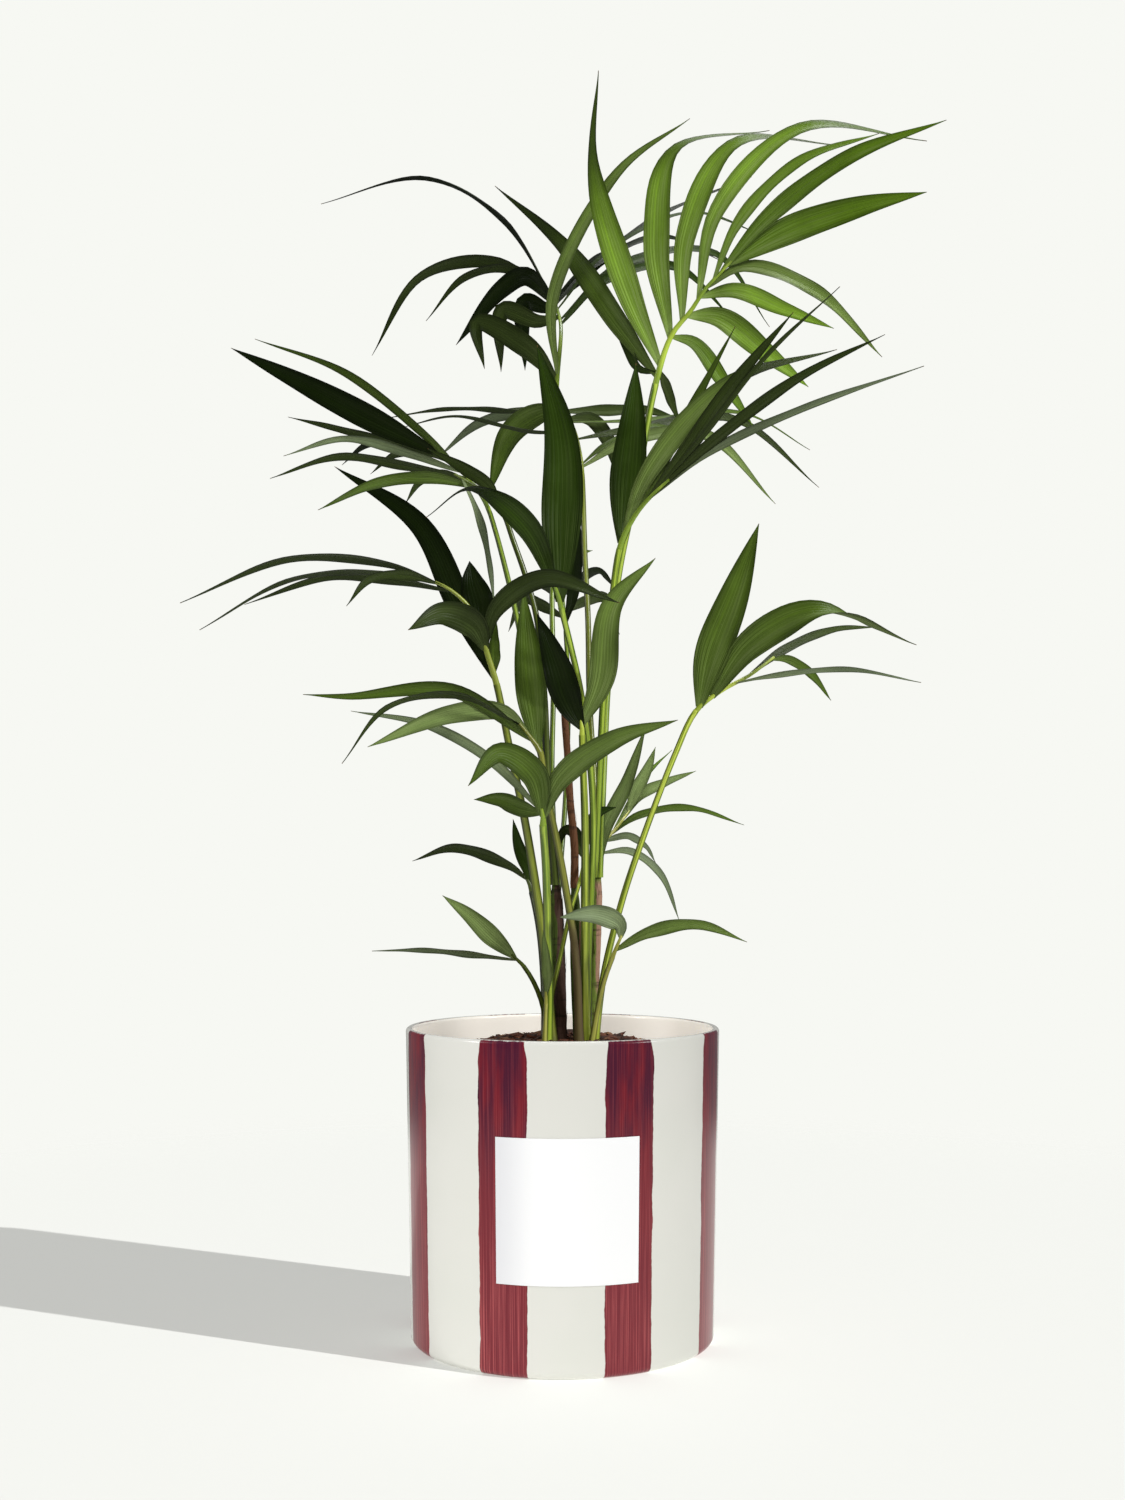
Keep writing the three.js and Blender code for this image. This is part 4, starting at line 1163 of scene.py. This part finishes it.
def arc(centre_r, centre_z, radius, start, end, steps):
    """Points of a profile on an arc; degrees run from outwards (0) to upwards (90)."""
    turns = np.radians(np.linspace(start, end, steps))
    return [(centre_r + radius * math.cos(a), centre_z + radius * math.sin(a)) for a in turns]


def circle(radius, height, sides):
    angles = np.linspace(0, 2 * math.pi, sides, endpoint=False)
    return [(radius * math.sin(a), -radius * math.cos(a), height) for a in angles]


def add_revolved(shape, profile, paints, sides):
    """A closed body of revolution; the profile runs from axis to axis, one paint for each band."""
    points = [(0, 0, profile[0][1])]
    for r, z in profile[1:-1]:
        points += circle(r, z, sides)
    points.append((0, 0, profile[-1][1]))
    faces = []
    last = 1 + (len(profile) - 3) * sides
    for side in range(sides):
        after = (side + 1) % sides
        faces.append([0, 1 + after, 1 + side])
        for low in range(1, last, sides):
            high = low + sides
            faces.append([low + side, low + after, high + after, high + side])
        faces.append([last + side, last + after, last + sides])
    shape.add(points, faces, paints * sides)


def add_pot():
    lip = POT_WALL / 2
    foot = [(r * MM, z * MM) for r, z in UNDERSIDE]
    outer = arc(pot_radius(POT_FOOT_ROUND) - POT_FOOT_ROUND, POT_FOOT_ROUND, POT_FOOT_ROUND, -84, 0, 12)
    heights = np.linspace(POT_FOOT_ROUND + WALL_CLEAR, POT_HEIGHT - WALL_CLEAR, 16)
    wall = [(pot_radius(z), z) for z in heights]
    rim = arc(POT_RIM_RADIUS - lip, POT_HEIGHT - lip, lip, 0, 180, 15)
    heights = np.linspace(POT_HEIGHT - WALL_CLEAR, POT_FLOOR + INNER_CORNER, 8)
    inner = [(pot_radius(z) - POT_WALL, z) for z in heights]
    corner_r = pot_radius(POT_FLOOR) - POT_WALL - POT_FOOT_ROUND
    corner = arc(corner_r, POT_FLOOR + POT_FOOT_ROUND, POT_FOOT_ROUND, 0, -90, 8)
    profile = foot + outer + wall + rim + inner + corner + [(0, POT_FLOOR)]
    paints = ["bisque"] * len(foot)
    paints += ["glaze_striped"] * (len(outer) + len(wall) + len(rim) - RIM_BANDS_INSIDE)
    paints += ["glaze_inside"] * (len(profile) - 1 - len(paints))
    shape = Shape()
    add_revolved(shape, profile, paints, POT_SIDES)
    declare(shape.piece("glazed_pot", 35), "pot")


def add_label():
    """A sheet of paper stuck round the front of the wall."""
    angles = np.radians(np.linspace(LABEL_FROM, LABEL_TO, LABEL_COLUMNS + 1))
    turns = np.concatenate((angles, angles[::-1]))
    proud = LABEL_CLEAR + np.repeat((LABEL_THICK, 0), len(angles))
    rings = []
    for z in np.linspace(LABEL_LOW, LABEL_HIGH, LABEL_ROWS + 1):
        radius = pot_radius(z) + proud
        rings += zip(radius * np.sin(turns), -radius * np.cos(turns), np.full(len(turns), z))
    shape = Shape()
    shape.add(rings, skin_of_rings(LABEL_ROWS + 1, len(turns)), "label_paper")
    declare(shape.piece("paper_label", 40), "label")


def soil_height(radius):
    """The soil is level round the stems and falls off towards the wall."""
    share = (SOIL_RADIUS - radius) / (SOIL_RADIUS - SOIL_PLATEAU_RADIUS)
    return np.minimum(SOIL_EDGE + (SOIL_TOP - SOIL_EDGE) * share, SOIL_TOP)


def make_mound():
    chance = np.random.default_rng(SOIL_SEED)
    profile = [
        (0, SOIL_BOTTOM), (SOIL_FOOT_RADIUS, SOIL_BOTTOM),
        (SOIL_RADIUS - SOIL_CORNER_INSET, SOIL_BOTTOM + INNER_CORNER),
    ]
    rings = np.linspace(0, SOIL_RADIUS, SOIL_RINGS + 1)[:0:-1]
    profile += [(r, soil_height(r)) for r in rings] + [(0, SOIL_TOP - SOIL_DIP)]
    shape = Shape()
    add_revolved(shape, profile, ["earth"] * (len(profile) - 1), SOIL_SIDES)
    x, y, z = shape.points[0].T
    free = (z > SOIL_EDGE - SOIL_DIP) & (np.hypot(x, y) < SOIL_RADIUS - SOIL_DIP)
    lumps = sum(
        np.sin(x / wave + chance.uniform(0, 6)) * np.sin(y / wave + chance.uniform(0, 6)) * high
        for wave, high in SOIL_LUMPS)
    lumps = (lumps - SOIL_LUMPS_SUNK + chance.uniform(*SOIL_GRAIN, len(z))) * MM
    shape.points[0][:, 2] += np.where(free, lumps, 0)
    return shape.piece("mound", 60)


def make_chip_bed():
    """The open surface that chips are strewn on, just under the soil's."""
    bed, sides = Shape(), CHIP_BED_SIDES
    surface = [(0, 0, SOIL_TOP - SOIL_DIP)]
    for radius in np.linspace(0, CHIP_REACH, CHIP_BED_RINGS + 1)[1:]:
        surface += circle(radius, soil_height(radius) - SOIL_DIP, sides)
    faces = [[0, 1 + side, 1 + (side + 1) % sides] for side in range(sides)]
    for low in range(1, 1 + (CHIP_BED_RINGS - 1) * sides, sides):
        high = low + sides
        for side in range(sides):
            after = (side + 1) % sides
            faces.append([low + side, high + side, high + after, low + after])
    bed.add(surface, faces, "earth")
    return bed


def add_soil():
    """A lumpy mound, strewn with splinters of bark."""
    pieces = [make_mound()]
    bed = make_chip_bed()
    for number, (name, density, length) in enumerate(CHIPS):
        values = {"Density": density, "Length": length, "Seed": CHIP_SEED + number, "Material": name}
        pieces.append(grown(bed.piece("bed"), "chips", CHIP_TREE, values))
    for piece in bpy.context.scene.objects:
        piece.select_set(piece in pieces)
    bpy.context.view_layer.objects.active = pieces[0]
    bpy.ops.object.join()
    pieces[0].name = "soil_bed"
    declare(pieces[0], "soil")


# ---- the stage ----
BACKGROUND = srgb(247, 248, 243)
ROOM_LIGHT = 0.2
FLOOR_TONE = (0.56, 0.565, 0.54, 1.0)
FLOOR_RADIUS = 1.15
FLOOR_SIDES = 96
FLOOR_DOWN = -0.0002
FLOOR_FADE_FROM = 0.72
FLOOR_FADE_TO = 1.1
# The low sun lights only the floor, and throws the pot's long shadow over it. A lamp straight above
# lights the floor too, and nothing stands in its way.
LOW_SUN_BEARING = 26
LOW_SUN_HEIGHT = 20
LOW_SUN_WIDTH = 0.5
LOW_SUN_POWER = 6.0
FLOOR_LAMP_POWER = 2.47
# The lamps of the pot and of the plant: each one's place, what it aims at, its size and its power.
LAMPS = {
    "pot_front": ((-0.35, -1.7, 1.1), (0, 0, 0.4), 0.9, 15.6),
    "pot_left": ((-1.4, -0.5, 1.0), (0, 0, 0.45), 0.4, 7),
    "pot_right": ((1.35, -0.6, 1.0), (0, 0, 0.45), 0.4, 7.5),
    "pot_top": ((0.0, 0.3, 1.9), (0, 0, 0.2), 0.8, 13),
    "plant_front": ((-0.35, -1.7, 1.1), (0, 0, 0.4), 0.9, 12.5),
    "plant_left": ((-1.4, -0.5, 1.0), (0, 0, 0.45), 0.4, 3),
    "plant_right": ((1.25, -0.8, 0.9), (0, 0, 0.5), 0.3, 21),
    "plant_top": ((0.2, 0.2, 1.9), (0, 0, 0.3), 0.7, 16),
}


def add_floor():
    """A round floor that fades out towards its edge."""
    material = bpy.data.materials.new("studio_floor")
    material.use_nodes = True
    tree = material.node_tree
    x, y, _ = object_place(tree).parts()
    away = (x * x + y * y).maths("SQRT")
    feed(tree.nodes["Principled BSDF"], {
        "Base Color": FLOOR_TONE, "Roughness": 0.95, SPECULAR: 0.0,
        "Alpha": away.remap(FLOOR_FADE_FROM, FLOOR_FADE_TO, 1.0, 0.0),
    })
    mesh = bpy.data.meshes.new("floor")
    mesh.from_pydata(circle(FLOOR_RADIUS, FLOOR_DOWN, FLOOR_SIDES), [], [list(range(FLOOR_SIDES))])
    mesh.materials.append(material)
    floor = new_object("floor", mesh)
    return floor


def add_room():
    """The eye sees the plain background, and everything else a dimmer white room."""
    world = bpy.data.worlds.new("studio")
    world.use_nodes = True
    tree = world.node_tree
    seen = tree.nodes["Background"]
    feed(seen, {"Color": BACKGROUND})
    room = add_node(tree, "ShaderNodeBackground", {"Color": (1.0, 1.0, 1.0, 1.0), "Strength": ROOM_LIGHT})
    by_eye = Signal(add_node(tree, "ShaderNodeLightPath"), "Is Camera Ray")
    mixed = by_eye.through("ShaderNodeMixShader", {1: Signal(room), 2: Signal(seen)})
    feed(tree.nodes["World Output"], {"Surface": mixed})
    bpy.context.scene.world = world


def add_lamp(name, kind, power, rotation, lit):
    """A lamp that lights one collection only."""
    made = new_object(name, bpy.data.lights.new(name, kind))
    made.data.energy = power
    made.rotation_euler = rotation
    made.light_linking.receiver_collection = lit
    return made


def add_light(floor):
    add_room()
    lit = {name: bpy.data.collections.new(name) for name in ("floor", "pot", "plant")}
    for piece in bpy.context.scene.collection.objects:
        if piece == floor:
            lit["floor"].objects.link(piece)
        elif piece.type == "MESH":
            lit["pot" if piece.name in ("glazed_pot", "paper_label") else "plant"].objects.link(piece)

    tilt, turn = math.radians(90 - LOW_SUN_HEIGHT), math.radians(90 - LOW_SUN_BEARING)
    low = add_lamp("low_sun", "SUN", LOW_SUN_POWER, (tilt, 0, turn), lit["floor"])
    low.data.angle = math.radians(LOW_SUN_WIDTH)
    above = add_lamp("floor_lamp", "SUN", FLOOR_LAMP_POWER, (0, 0, 0), lit["floor"])
    above.data.use_shadow = False

    for name, (stand, aim, size, power) in LAMPS.items():
        x, y, z = np.subtract(aim, stand)
        rotation = (math.atan2(math.hypot(x, y), -z), 0, math.atan2(-x, y))
        lamp = add_lamp(name, "AREA", power, rotation, lit[name.split("_")[0]])
        lamp.location = stand
        lamp.data.shape = "DISK"
        lamp.data.size = size
        lamp.visible_glossy = not name.endswith("_front")


def add_camera():
    lens = bpy.data.cameras.new("camera")
    lens.sensor_fit = "VERTICAL"
    lens.sensor_height = SENSOR_HEIGHT
    lens.lens = FOCAL_LENGTH
    lens.shift_y = HORIZON_DOWN
    camera = new_object("camera", lens)
    camera.location = (0, -EYE_BACK * MM, EYE_UP * MM)
    camera.rotation_euler = (math.radians(90), 0, 0)
    bpy.context.scene.camera = camera


add_camera()
add_pot()
add_label()
add_soil()
for number, name in enumerate(TRUNKS):
    add_trunk(name, STEM_SEED + number)
for number, name in enumerate(FRONDS):
    add_frond(name, np.random.default_rng(FROND_SEED + number))
add_light(add_floor())
bpy.context.scene.view_settings.view_transform = "Standard"
